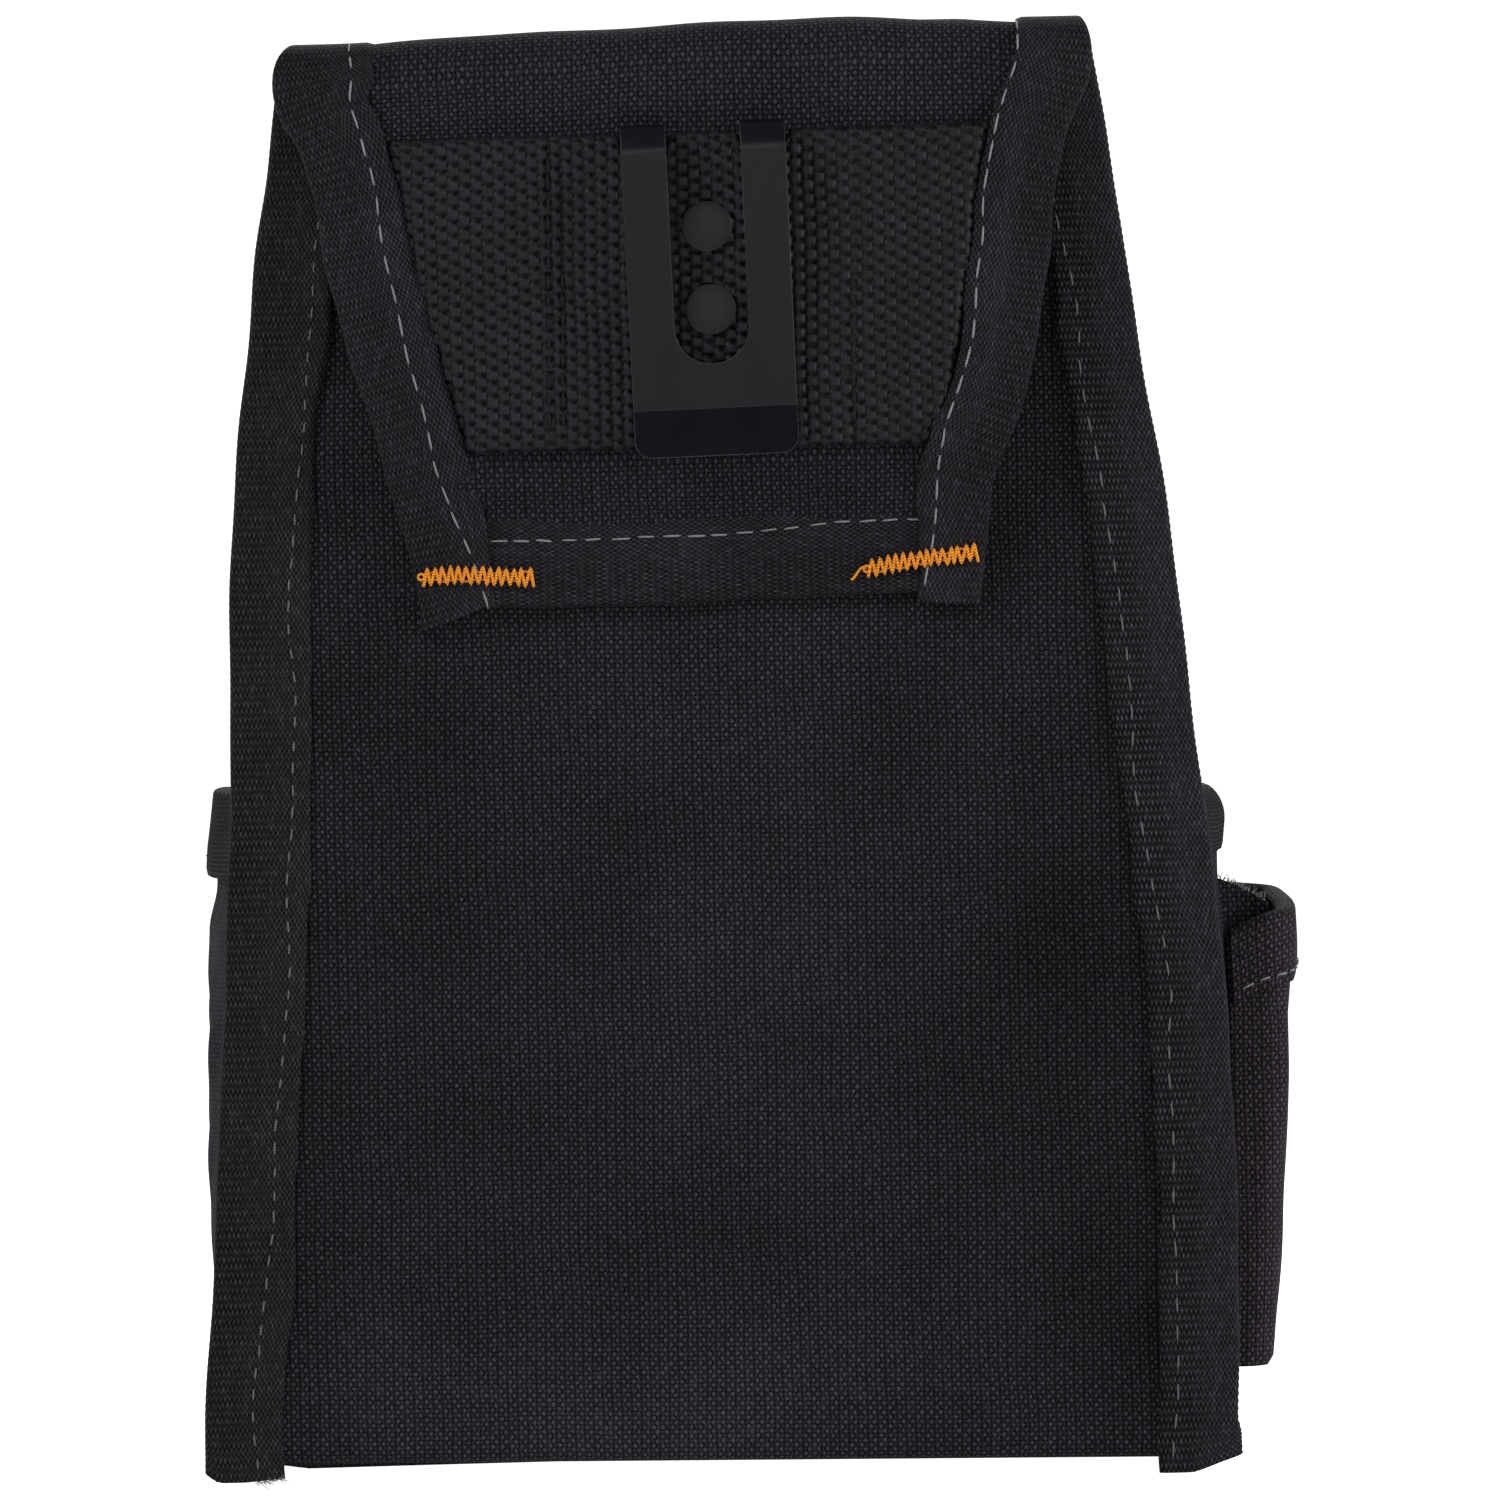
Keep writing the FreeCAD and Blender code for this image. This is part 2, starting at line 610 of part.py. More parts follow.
def make_all():
    parts = make_back_layers()
    stack = back_stack()
    outer = compartment(0, RIM_HEIGHT)
    inner = compartment(WALL, RIM_HEIGHT)
    flap_parts = make_flap()
    right_binding = make_back_binding(stack, list(flap_parts.values()))
    parts.update(flap_parts)
    parts["back_binding_right"] = right_binding
    parts["back_binding_left"] = mirrored(right_binding)
    walls = make_compartment_walls(outer, inner)
    parts.update(walls)
    parts["main_rim_binding"] = make_main_rim_binding(list(walls.values()))
    parts["front_binding_right"] = make_front_binding(outer)
    parts["front_binding_left"] = mirrored(parts["front_binding_right"])
    parts.update(make_front_pocket(outer))
    parts.update(make_side_pocket(outer))
    plate = make_clip_back_plate()
    parts["clip_back_plate"] = plate
    parts["clip_tongue"] = make_clip_tongue()
    parts["clip_rivets"] = make_clip_rivets()
    parts["rivet_washers"] = make_rivet_washers()
    parts["webbing_band"] = make_webbing_band(plate)
    parts["bar_tack_right"] = make_bar_tack(1)
    parts["bar_tack_left"] = make_bar_tack(-1)
    return parts


def main():
    os.makedirs("parts", exist_ok=True)
    for name, shape in sorted(make_all().items()):
        shape.exportStep("parts/" + name + ".step")
        print(name, len(shape.Solids), "solids", round(shape.Volume), "mm3", "valid", shape.isValid())
    point, axis = hinge_line()
    print("hinge at", [round(v, 3) for v in point], "along", [round(v, 6) for v in axis])


main()
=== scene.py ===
import math
import bpy
import numpy as np
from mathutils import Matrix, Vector


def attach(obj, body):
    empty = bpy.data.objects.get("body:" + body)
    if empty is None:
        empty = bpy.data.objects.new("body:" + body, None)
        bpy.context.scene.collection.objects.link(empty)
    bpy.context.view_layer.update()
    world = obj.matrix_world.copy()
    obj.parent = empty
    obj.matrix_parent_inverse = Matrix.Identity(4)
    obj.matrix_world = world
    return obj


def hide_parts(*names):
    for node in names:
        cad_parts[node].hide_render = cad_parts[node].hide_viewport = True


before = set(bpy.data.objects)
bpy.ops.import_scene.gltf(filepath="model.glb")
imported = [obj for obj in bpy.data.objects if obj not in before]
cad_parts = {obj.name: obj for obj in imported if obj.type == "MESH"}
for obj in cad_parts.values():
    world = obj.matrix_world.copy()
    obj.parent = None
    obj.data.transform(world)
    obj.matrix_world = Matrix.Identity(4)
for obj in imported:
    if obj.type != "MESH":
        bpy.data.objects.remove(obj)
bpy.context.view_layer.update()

# The pouch is in millimetres until a piece or a node socket is made; MM turns it into metres.
# A pair of lists is a curve: heights, then the value at each, for spline().
# A side is -1 for the left and 1 for the right, as the back is seen.
MM = 0.001
BODY = "pouch"
SIDE_WORD = {-1: "left", 1: "right"}
THREAD_PITCH = 0.765

# Pouch outline, seen from the belt side
BASE_HALF_WIDTH = 84.0
TOP_HALF_WIDTH = 66.0
TAPER_HEIGHT = 235.0
SIDE_BOW = 3.3
SWAY = ([0, 46, 78, 114, 143, 182, 198, 214, 235], [0.0, 1.2, 2.0, 1.2, 0.4, -0.6, -0.9, -0.8, -0.6])

# Tapes
TAPE = 0.9
BACK_TAPE_WIDTH = 12.2
RIM_TAPE_WIDTH = 13.5
HEM_TAPE_WIDTH = 13.2
RIB_PITCH = 1.25
RIB_HEIGHT = 0.17
BEAD_PITCH = 0.37
ROWS_PER_RIB = 4

# Back
BACK_OUTER_Y = -34.0
BACK_INNER_Y = -31.0
FABRIC = 1.0
BACK_TOP = 227.2
BACK_TAPE_TOP = 231.0
PANEL_TOP = BACK_TOP - 3.5
PANEL_CORNER = 7.0
FOLD_RADIUS_LOW = 2.6
BACK_TAPE_LIFT = {-1: [(70, 14, 0.5), (190, 16, 0.5)],
                  1: [(166, 13, 1.3), (120, 20, 0.7), (60, 16, 0.8), (24, 9, 0.7)]}
BACK_TAPE_FOOT = {-1: 1.9, 1: 0.12}
BACK_STITCH = {-1: {"pitch": 3.7, "dash": 1.9, "radius": 0.17, "rise": 0.08},
               1: {"pitch": 4.6, "dash": 2.5, "radius": 0.16, "rise": -0.02}}

# Compartment
WALL = 1.6
RIM = 113.5
RIM_LEAN_FROM = 104.5
RIGHT_LEAN = 2.9
RIGHT_DROP = 3.1
RIGHT_WAIST = 0.8
LEFT_STAND = 2.2
LEFT_NOD = 1.2
LEFT_SWELL = 0.7
FRONT_Y = 18.0
FRONT_CROWN = 3.0
GUSSET_HALF_WIDTH = 83.7
CORNER_RADIUS = 12.0
SIDE_FOOT_RADIUS = 4.0
FRONT_FOOT_RADIUS = 12.0
FRONT_FLAT_HALF = GUSSET_HALF_WIDTH - 1 - CORNER_RADIUS
SEAM_X = 66.0
SEAM_RIB_DEPTH = 6.6

# Flap
FLAP = 1.4
TUNNEL_RADIUS = 6.5
FLAP_FOLD_Z = 227.2
FLAP_LAP = 11.0
PLANE_TOP = (228.5, -44.0)
PLANE_LOW = (166.0, -40.5)
FLAP_TAPE_END = {-1: 138.9, 1: 141.4}
FLAP_CORNER_PULL = {-1: 2.3, 1: 1.1}
TACK_TOP = 151.0
FLAP_HEM = 143.7
HEM_SLOPE = 0.012
FLAP_LEFT = ([138, 150, 170, 195, 212, 218, 222, 226, 235],
             [-45.3, -47.2, -52.0, -59.0, -61.7, -63.2, -65.8, -67.2, -67.3])
FLAP_RIGHT = ([138, 150, 160, 170, 195, 215, 226, 235], [44.8, 46.0, 46.8, 51.3, 56.6, 59.8, 64.0, 64.8])
FLAP_SEAM = {-1: ([142, 162, 182, 210, 218, 224, 231], [9.9, 7.5, 8.6, 9.2, 9.6, 11.8, 11.4]),
             1: ([142, 158, 171, 182, 198, 229], [8.5, 8.0, 9.9, 9.7, 10.2, 11.1])}
FLAP_TAPE_WIDTH = {-1: 13.0, 1: 11.4}
TAPE_LAP = 4.0
PRESSED_WEBBING = 1.1

# Webbing
WEBBING = 2.8
WEBBING_LOW = 167.2
WEBBING_HIGH = 218.2
WEBBING_COLUMN = 1.84
WEBBING_BUMP = 2.25
WEBBING_RELIEF = 0.88
WEBBING_STEP = 0.27
WEBBING_SEAMS = (-23.6, -21.4, 25.4)
CLIP_CENTRE = 1.7
CLIP_HALF = 13.15
SLOT_HALF = 5.95
PLATE_LOW = 180.0

# Front pocket
BAY_EDGES = [-62.0, -23.0, 23.0, 62.0]
BAY_LOW = 9.0
BAY_HIGH = 84.0
BAY_DEPTHS_LOW = [5.0, 6.0, 5.0]
BAY_DEPTHS_HIGH = [20.0, 24.0, 20.0]
FRONT_PLY = 1.4

# Side pocket
POCKET_PLY = 1.5
POCKET_FOOT = 16.0
POCKET_BACK_Y = -23.0
POCKET_FRONT_Y = 13.0
POCKET_OUT = ([16, 40, 60, 80, 105], [90.5, 92.7, 93.9, 94.6, 95.0])
POCKET_CORNER = 4.5
HEM_WIDTH = 10.6
HEM_PLY = 0.8
FACING_TOP = 96.0

# Light
ROOM_LIGHT = 0.20
FLOOR_GLOW = 0.85
FLOOR_BOUNCE = 0.25

# Threads and edges
STITCH_RADIUS = 0.185
TACK_RADIUS = 0.27
TACK_TEETH = 14
TACK_SPAN = {-1: (-45.0, -27.2), 1: (26.9, 44.6)}
TACK_LEVEL = {-1: (147.7, 147.5), 1: (147.4, 150.0)}
# Width of the painted edge highlight on the clip and rivets, and of the rounding the shader gives their edges.
EDGE_HIGHLIGHT_WIDTH = 0.28


# ---------------------------------------------------------------- curves and grids

def spline(knots, values, at):
    """Smooth curve through a few values; works on arrays."""
    knots = np.asarray(knots, float)
    values = np.asarray(values, float)
    at = np.clip(np.asarray(at, float), knots[0], knots[-1])
    slopes = np.gradient(values, knots)
    low = np.clip(np.searchsorted(knots, at) - 1, 0, len(knots) - 2)
    step = knots[low + 1] - knots[low]
    t = (at - knots[low]) / step
    start = (1 + 2 * t) * (1 - t) ** 2 * values[low] + t * (1 - t) ** 2 * step * slopes[low]
    end = t * t * (3 - 2 * t) * values[low + 1] + t * t * (t - 1) * step * slopes[low + 1]
    return start + end


def smoothstep(low, high, at):
    t = np.clip((np.asarray(at, float) - low) / (high - low), 0, 1)
    return t * t * (3 - 2 * t)


def hill(centre, width, at):
    return np.exp(-((np.asarray(at, float) - centre) / width) ** 2)


def ripple(a, b, size, seed, waves=8):
    """Smooth random undulation over two coordinates, about -1 to 1."""
    rng = np.random.default_rng(seed)
    total = np.zeros(np.broadcast(a, b).shape)
    for _ in range(waves):
        turn = rng.uniform(0, 2 * math.pi)
        length = size * rng.uniform(0.6, 1.8)
        phase = rng.uniform(0, 2 * math.pi)
        total += np.sin(2 * math.pi * (a * math.cos(turn) + b * math.sin(turn)) / length + phase)
    return total / math.sqrt(waves)


def half_width(z):
    share = np.asarray(z, float) / TAPER_HEIGHT
    taper = BASE_HALF_WIDTH + (TOP_HALF_WIDTH - BASE_HALF_WIDTH) * share
    bow = 4 * SIDE_BOW * share * (1 - share)
    return taper + bow + 1.0 * hill(158, 26, z) + 0.4 * hill(65, 35, z) - 0.4 * smoothstep(200, 215, z)


def sway(z):
    """How far the soft pouch leans sideways at a height."""
    return spline(SWAY[0], SWAY[1], z)


def fold_height(x):
    """Height of the fold along the back's foot, which slopes a little."""
    return 3.45 - 0.0145 * np.asarray(x, float)


def base_height(x, y):
    """The soft base: from the back fold down to the ground towards the front."""
    fall = 0.094 * (np.asarray(y, float) - BACK_OUTER_Y)
    return np.maximum(fold_height(x) - fall + 0.15, 0.03)


def unit(vectors):
    return vectors / np.maximum(np.linalg.norm(vectors, axis=-1, keepdims=True), 1e-9)


def normals(grid):
    return unit(np.cross(np.gradient(grid, axis=0), np.gradient(grid, axis=1)))


def lengths(points):
    """Distance run along a polyline, from its first point."""
    steps = np.linalg.norm(np.diff(points, axis=0), axis=1)
    return np.concatenate([[0.0], np.cumsum(steps)])


def resample(points, count):
    run = lengths(points)
    at = np.linspace(0, run[-1], count)
    return np.stack([np.interp(at, run, points[:, k]) for k in range(points.shape[1])], axis=1)


def tangents(points):
    return unit(np.gradient(points, axis=0))


def facing(path, axis, sign):
    """The same way along one axis at every point of a path."""
    way = np.zeros_like(path)
    way[:, axis] = sign
    return way


def offset(path, across, out, inwards, outwards):
    """A line beside a path, moved across it and out of the cloth."""
    return path + across * inwards[:, None] + out * outwards[:, None]


def grid_run(grid, axis=1):
    """Distance run along each row of a grid, or down each column with axis 0."""
    first = grid[:, :1] if axis else grid[:1]
    return np.cumsum(np.linalg.norm(np.diff(grid, axis=axis, prepend=first), axis=2), axis=axis)


def soften(values, reach):
    """A running mean over a few neighbours each way; the ends keep their own values."""
    padded = np.pad(values, reach, mode="edge")
    return np.convolve(padded, np.full(2 * reach + 1, 1 / (2 * reach + 1)), mode="valid")


def rows_for(length):
    return int(length / RIB_PITCH * ROWS_PER_RIB) + 1


# ---------------------------------------------------------------- meshes

def new_object(name, points, faces, uvs, material, replaces=(), relief=None):
    """A mesh piece in metres that rides on the pouch; uvs holds one pair per face corner.
    relief is a share from 0 to 1 per point, which a material may read as painted light and shade, to darken or
    brighten itself."""
    mesh = bpy.data.meshes.new(name)
    mesh.from_pydata((np.asarray(points) * MM).tolist(), [], faces)
    layer = mesh.uv_layers.new(name="UVMap")
    layer.data.foreach_set("uv", (np.asarray(uvs) * MM).astype(np.float32).ravel())
    if relief is not None:
        values = mesh.attributes.new("relief", "FLOAT", "POINT").data
        values.foreach_set("value", relief.astype(np.float32).ravel())
    mesh.shade_smooth()
    mesh.materials.append(material)
    mesh.update()
    piece = bpy.data.objects.new(name, mesh)
    bpy.context.scene.collection.objects.link(piece)
    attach(piece, BODY)
    if replaces:
        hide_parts(*replaces)
    return piece


def read_points(piece):
    """A piece's points in millimetres, one row each."""
    points = np.zeros(len(piece.data.vertices) * 3)
    piece.data.vertices.foreach_get("co", points)
    return points.reshape(-1, 3) / MM


def write_points(piece, points):
    piece.data.vertices.foreach_set("co", (points * MM).ravel())
    piece.data.update()


def shell(name, outer, inner, u, v, material, slot, replaces=(), relief=None):
    """A closed thin solid between two grids of the same size."""
    rows, columns = outer.shape[:2]
    thickness = float(np.linalg.norm(outer[0, 0] - inner[0, 0]))
    u = np.broadcast_to(u, (rows, columns))
    v = np.broadcast_to(v, (rows, columns))
    ring = np.concatenate([outer, inner[:, ::-1]], axis=1)
    near = np.stack([u, v], axis=2)
    far = np.stack([2 * u[:, -1:] - u[:, ::-1] + thickness, v[:, ::-1]], axis=2)
    ring_uv = np.concatenate([near, far], axis=1)
    closing = ring_uv[:, -1:].copy()
    closing[:, :, 0] += thickness
    ring_uv = np.concatenate([ring_uv, closing], axis=1)
    around = 2 * columns
    row, column = np.meshgrid(np.arange(rows - 1), np.arange(around), indexing="ij")
    following = (column + 1) % around
    quads = np.stack([row * around + column, row * around + following,
                      (row + 1) * around + following, (row + 1) * around + column], axis=2).reshape(-1, 4)
    quad_uv = np.stack([ring_uv[row, column], ring_uv[row, column + 1],
                        ring_uv[row + 1, column + 1], ring_uv[row + 1, column]], axis=2).reshape(-1, 4, 2)
    faces = quads.tolist()
    uvs = [quad_uv.reshape(-1, 2)]
    for line, flip in ((0, False), (rows - 1, True)):
        for k in range(columns - 1):
            corners = [k, around - 1 - k, around - 2 - k, k + 1]
            this, following_pair = near[line, k], near[line, k + 1]
            pairs = [this, this + (0, thickness), following_pair + (0, thickness), following_pair]
            if flip:
                corners = corners[::-1]
                pairs = pairs[::-1]
            faces.append([line * around + c for c in corners])
            uvs.append(np.array(pairs))
    if relief is not None:
        relief = np.concatenate([relief, 0 * relief], axis=1)
    return new_object(name, ring.reshape(-1, 3), faces, np.concatenate(uvs), material, replaces, relief)


def tubes(name, centres, radii, material, sides=7, replaces=()):
    """Many short round threads in one piece; centres is a list of polylines, radii a list per point."""
    points, faces, uvs = [], [], []
    turn = np.linspace(0, 2 * math.pi, sides, endpoint=False)
    wrap = 2 * math.pi * STITCH_RADIUS / sides
    for line, radius in zip(centres, radii):
        along = tangents(line)
        helper = np.where(np.abs(along[:, 1:2]) < 0.9, [[0.0, 1.0, 0.0]], [[1.0, 0.0, 0.0]])
        side = unit(np.cross(along, helper))
        up = np.cross(side, along)
        run = lengths(line)
        first = len(points)
        for k in range(len(line)):
            for angle in turn:
                points.append(line[k] + radius[k] * (math.cos(angle) * side[k] + math.sin(angle) * up[k]))
        for k in range(len(line) - 1):
            for j in range(sides):
                a = first + k * sides + j
                b = first + k * sides + (j + 1) % sides
                faces.append([a, b, b + sides, a + sides])
                near, far = j * wrap, (j + 1) * wrap
                uvs += [(near, run[k]), (far, run[k]), (far, run[k + 1]), (near, run[k + 1])]
        faces.append([first + j for j in range(sides)][::-1])
        faces.append([first + (len(line) - 1) * sides + j for j in range(sides)])
        uvs += [(0.0, 0.0)] * (2 * sides)
    return new_object(name, points, faces, uvs, material, replaces)


def channel(name, path, across, out, widths, depth, material, replaces, inner=None, lift=None, ride=0.0,
            rib=1.0):
    """Tape folded over an edge. path runs along the edge, across points inwards, out faces the eye.
    widths is the visible leg's width and inner the hidden leg's, per path point. lift raises the leg's free
    edge and ride its whole inner part, where it lies over something. rib is how proud the tape's ribs are."""
    rows = len(path)
    run = lengths(path)
    one = np.ones((rows, 1))
    widths = (np.broadcast_to(widths, rows).astype(float))[:, None]
    inner = widths if inner is None else inner[:, None]
    lift = 0 * one if lift is None else lift[:, None]
    ride = np.broadcast_to(ride, rows).astype(float)[:, None]
    leg = np.linspace(1, 0, 12)[None, :]
    hidden_leg = leg[:, ::-1]
    turn = np.linspace(0, math.pi, 9)[None, 1:-1]
    swell = (RIB_HEIGHT * rib * (0.5 + 0.5 * np.cos(2 * math.pi * run / RIB_PITCH) - 1))[:, None]
    tip = TAPE * 0.45 * leg ** 30
    leg_rise = lift * leg ** 4 + ride * smoothstep(0.42, 0.68, leg)
    edge_in = -TAPE * np.sin(turn) ** 0.7
    edge_out = -depth / 2 + (depth / 2 + TAPE) * np.cos(turn)
    wall_out = -depth / 2 + depth / 2 * np.cos(turn)
    face_in = np.concatenate([widths * leg, edge_in - swell * np.sin(turn), inner * hidden_leg], axis=1)
    face_out = np.concatenate([one * TAPE + swell + leg_rise - tip, edge_out * one + swell * np.cos(turn),
                               (-depth - TAPE) * one - swell + 0 * leg + tip[:, ::-1]], axis=1)
    back_in = np.concatenate([widths * leg, 0 * turn * one, inner * hidden_leg], axis=1)
    back_out = np.concatenate([0 * one + 0.04 + leg_rise, wall_out * one, -depth * one - 0.04 + 0 * leg],
                              axis=1)
    near = path[:, None] + across[:, None] * face_in[..., None] + out[:, None] * face_out[..., None]
    far = path[:, None] + across[:, None] * back_in[..., None] + out[:, None] * back_out[..., None]
    steps = np.linalg.norm(np.diff(np.stack([face_in, face_out], axis=2), axis=1), axis=2)
    u = np.concatenate([0 * one, np.cumsum(steps, axis=1)], axis=1)
    return shell(name, near, far, u, run[:, None], material, "binding_tape", replaces)


def stitches(name, path, out, pitch, dash, seed, material=None, radius=STITCH_RADIUS, rise=0.12):
    """A row of thread dashes that dip into the cloth at both ends, in grey thread unless told otherwise."""
    rng = np.random.default_rng(seed)
    run = lengths(path)
    lines, radii = [], []
    at = pitch * 0.4
    while at + dash < run[-1]:
        span = dash * rng.uniform(0.85, 1.1)
        s = at + np.linspace(0, span, 7)
        line = np.stack([np.interp(s, run, path[:, k]) for k in range(3)], axis=1)
        face_out = unit(np.stack([np.interp(s, run, out[:, k]) for k in range(3)], axis=1))
        t = np.linspace(0, 1, 7)
        height = (rise + radius) * (1 - np.abs(2 * t - 1) ** 3.5) - radius * 0.9
        side = np.cross(face_out, tangents(line))
        skew = rng.normal(0, 0.10) * (t - 0.5) + rng.normal(0, 0.05)
        lines.append(line + face_out * height[:, None] + side * skew[:, None])
        radii.append(radius * rng.uniform(0.9, 1.08) * (0.62 + 0.38 * np.sin(math.pi * t) ** 0.6))
        at += pitch * rng.uniform(0.92, 1.08)
    return tubes(name, lines, radii, material or GREY_LOOK)


# ---------------------------------------------------------------- materials

class Nodes:
    """A small helper that wires shader nodes."""

    def __init__(self, name):
        self.material = bpy.data.materials.new(name)
        self.material.use_nodes = True
        self.tree = self.material.node_tree
        self.shader = self.tree.nodes["Principled BSDF"]

    def add(self, kind, **settings):
        node = self.tree.nodes.new(kind)
        for key, value in settings.items():
            setattr(node, key, value)
        return node

    def link(self, source, target):
        self.tree.links.new(source, target)

    def math(self, operation, first, second=None, third=None, clamp=False):
        node = self.add("ShaderNodeMath", operation=operation, use_clamp=clamp)
        for socket, value in zip(node.inputs, (first, second, third)):
            if value is None:
                continue
            if isinstance(value, (int, float)):
                socket.default_value = value
            else:
                self.link(value, socket)
        return node.outputs[0]

    def uv(self):
        split = self.add("ShaderNodeSeparateXYZ")
        self.link(self.add("ShaderNodeTexCoord").outputs["UV"], split.inputs[0])
        return split.outputs[0], split.outputs[1]

    def times(self, first, second):
        return self.math("MULTIPLY", first, second)

    def scaled(self, value, scale, plus):
        return self.math("MULTIPLY_ADD", value, scale, plus)

    def shaken(self, value, chance, amount):
        """A value moved up or down by a random share of an amount."""
        return self.math("ADD", value, self.times(self.math("SUBTRACT", chance, 0.5), amount))

    def wobble(self, value, scale, amount, seed):
        """A coordinate pushed about by slow noise, so that threads aren't ruler straight."""
        return self.shaken(value, self.noise(scale, 2.0, seed), amount)

    def wave(self, value, turns=1, shape="SINE"):
        """A sine or cosine that goes through half a turn, times turns, for each step of the value."""
        return self.math(shape, self.times(value, turns * math.pi))

    def between(self, value, low, high, first, last):
        """Goes smoothly from first to last as the value goes from low to high."""
        node = self.add("ShaderNodeMapRange", interpolation_type="SMOOTHSTEP")
        self.link(value, node.inputs["Value"])
        for socket, number in (("From Min", low), ("From Max", high), ("To Min", first), ("To Max", last)):
            node.inputs[socket].default_value = number
        return node.outputs["Result"]

    def relief(self):
        return self.add("ShaderNodeAttribute", attribute_name="relief").outputs["Fac"]

    def float_height(self, side, over, lift):
        """Height of one set of threads: round across (side), rising and falling along (over)."""
        crown = self.math("POWER", self.math("ABSOLUTE", side), 0.6)
        swing = self.times(self.math("SIGN", side), over)
        return self.times(crown, self.scaled(swing, lift, 0.5))

    def cell_chance(self, u, v, seed):
        """A random value from 0 to 1 that stays the same over one crossing of two threads."""
        join = self.add("ShaderNodeCombineXYZ")
        self.link(self.math("FLOOR", u), join.inputs[0])
        self.link(self.math("FLOOR", v), join.inputs[1])
        join.inputs[2].default_value = seed
        chance = self.add("ShaderNodeTexWhiteNoise", noise_dimensions="3D")
        self.link(join.outputs[0], chance.inputs["Vector"])
        return chance.outputs["Value"]

    def noise(self, scale, detail, seed, stretch=None):
        texture = self.add("ShaderNodeTexNoise", noise_dimensions="3D")
        texture.inputs["Scale"].default_value = scale
        texture.inputs["Detail"].default_value = detail
        mapping = self.add("ShaderNodeMapping")
        mapping.inputs["Location"].default_value = (seed * 1.37, seed * 0.71, seed * 2.11)
        if stretch:
            mapping.inputs["Scale"].default_value = stretch
        source = self.add("ShaderNodeTexCoord")
        self.link(source.outputs["UV" if stretch else "Object"], mapping.inputs[0])
        self.link(mapping.outputs[0], texture.inputs["Vector"])
        return texture.outputs["Fac"]

    def ramp(self, value, stops):
        node = self.add("ShaderNodeValToRGB")
        elements = node.color_ramp.elements
        while len(elements) < len(stops):
            elements.new(0.5)
        for element, (place, colour) in zip(elements, stops):
            element.position = place
            element.color = (*colour, 1)
        self.link(value, node.inputs[0])
        return node.outputs[0]

    def bump(self, height, distance, under=None):
        node = self.add("ShaderNodeBump")
        node.inputs["Distance"].default_value = distance
        self.link(height, node.inputs["Height"])
        if under is not None:
            self.link(under, node.inputs["Normal"])
        return node.outputs[0]

    def finish(self, colour, normal, roughness, specular, sheen=0.0):
        self.link(colour, self.shader.inputs["Base Color"])
        if normal is not None:
            self.link(normal, self.shader.inputs["Normal"])
        if isinstance(roughness, (int, float)):
            self.shader.inputs["Roughness"].default_value = roughness
        else:
            self.link(roughness, self.shader.inputs["Roughness"])
        self.shader.inputs["Specular IOR Level"].default_value = specular
        self.shader.inputs["Sheen Weight"].default_value = sheen
        self.shader.inputs["Sheen Roughness"].default_value = 0.45
        self.shader.inputs["Sheen Tint"].default_value = (0.8, 0.82, 1.0, 1)
        return self.material


def woven(name, dark, light, pitch=THREAD_PITCH, relief=0.00020, specular=0.1, painted_light=False):
    """Plain weave: upright threads shine where they rise over the level ones, in every second cell.
    When asked, its tone is scaled by painted light and shade from the mesh's relief attribute."""
    nodes = Nodes(name)
    u, v = nodes.uv()
    u = nodes.math("DIVIDE", nodes.wobble(u, 75.0, 0.0011, 1), pitch * MM)
    v = nodes.math("DIVIDE", nodes.wobble(v, 66.0, 0.0011, 2), pitch * MM)
    wave_v = nodes.wave(v)
    wave_u = nodes.wave(nodes.scaled(wave_v, 0.16, u))
    warp = nodes.float_height(wave_u, wave_v, 0.5)
    weft = nodes.float_height(wave_v, wave_u, -0.5)
    lively = nodes.scaled(nodes.math("POWER", nodes.cell_chance(u, v, 5.0), 3.0), 0.32, 0.86)
    fibres = nodes.noise(1.0, 3.0, 5, stretch=(4200.0, 2600.0, 1.0))
    patches = nodes.noise(34.0, 4.0, 7)
    rough = nodes.shaken(nodes.math("MAXIMUM", warp, weft), fibres, 0.6)
    shine = nodes.math("MAXIMUM", nodes.math("POWER", warp, 1.4), nodes.times(weft, 0.42))
    shine = nodes.times(nodes.times(shine, lively), nodes.scaled(fibres, 2.2, -0.1))
    tone = nodes.times(shine, nodes.scaled(patches, 0.4, 0.75))
    # Painted light and shade: the tone is scaled by the share in the relief attribute.
    if painted_light:
        tone = nodes.times(tone, nodes.relief())
    colour = nodes.ramp(tone, [(0.08, dark), (0.95, light)])
    return nodes.finish(colour, nodes.bump(rough, relief), 0.7, specular, 0.02)


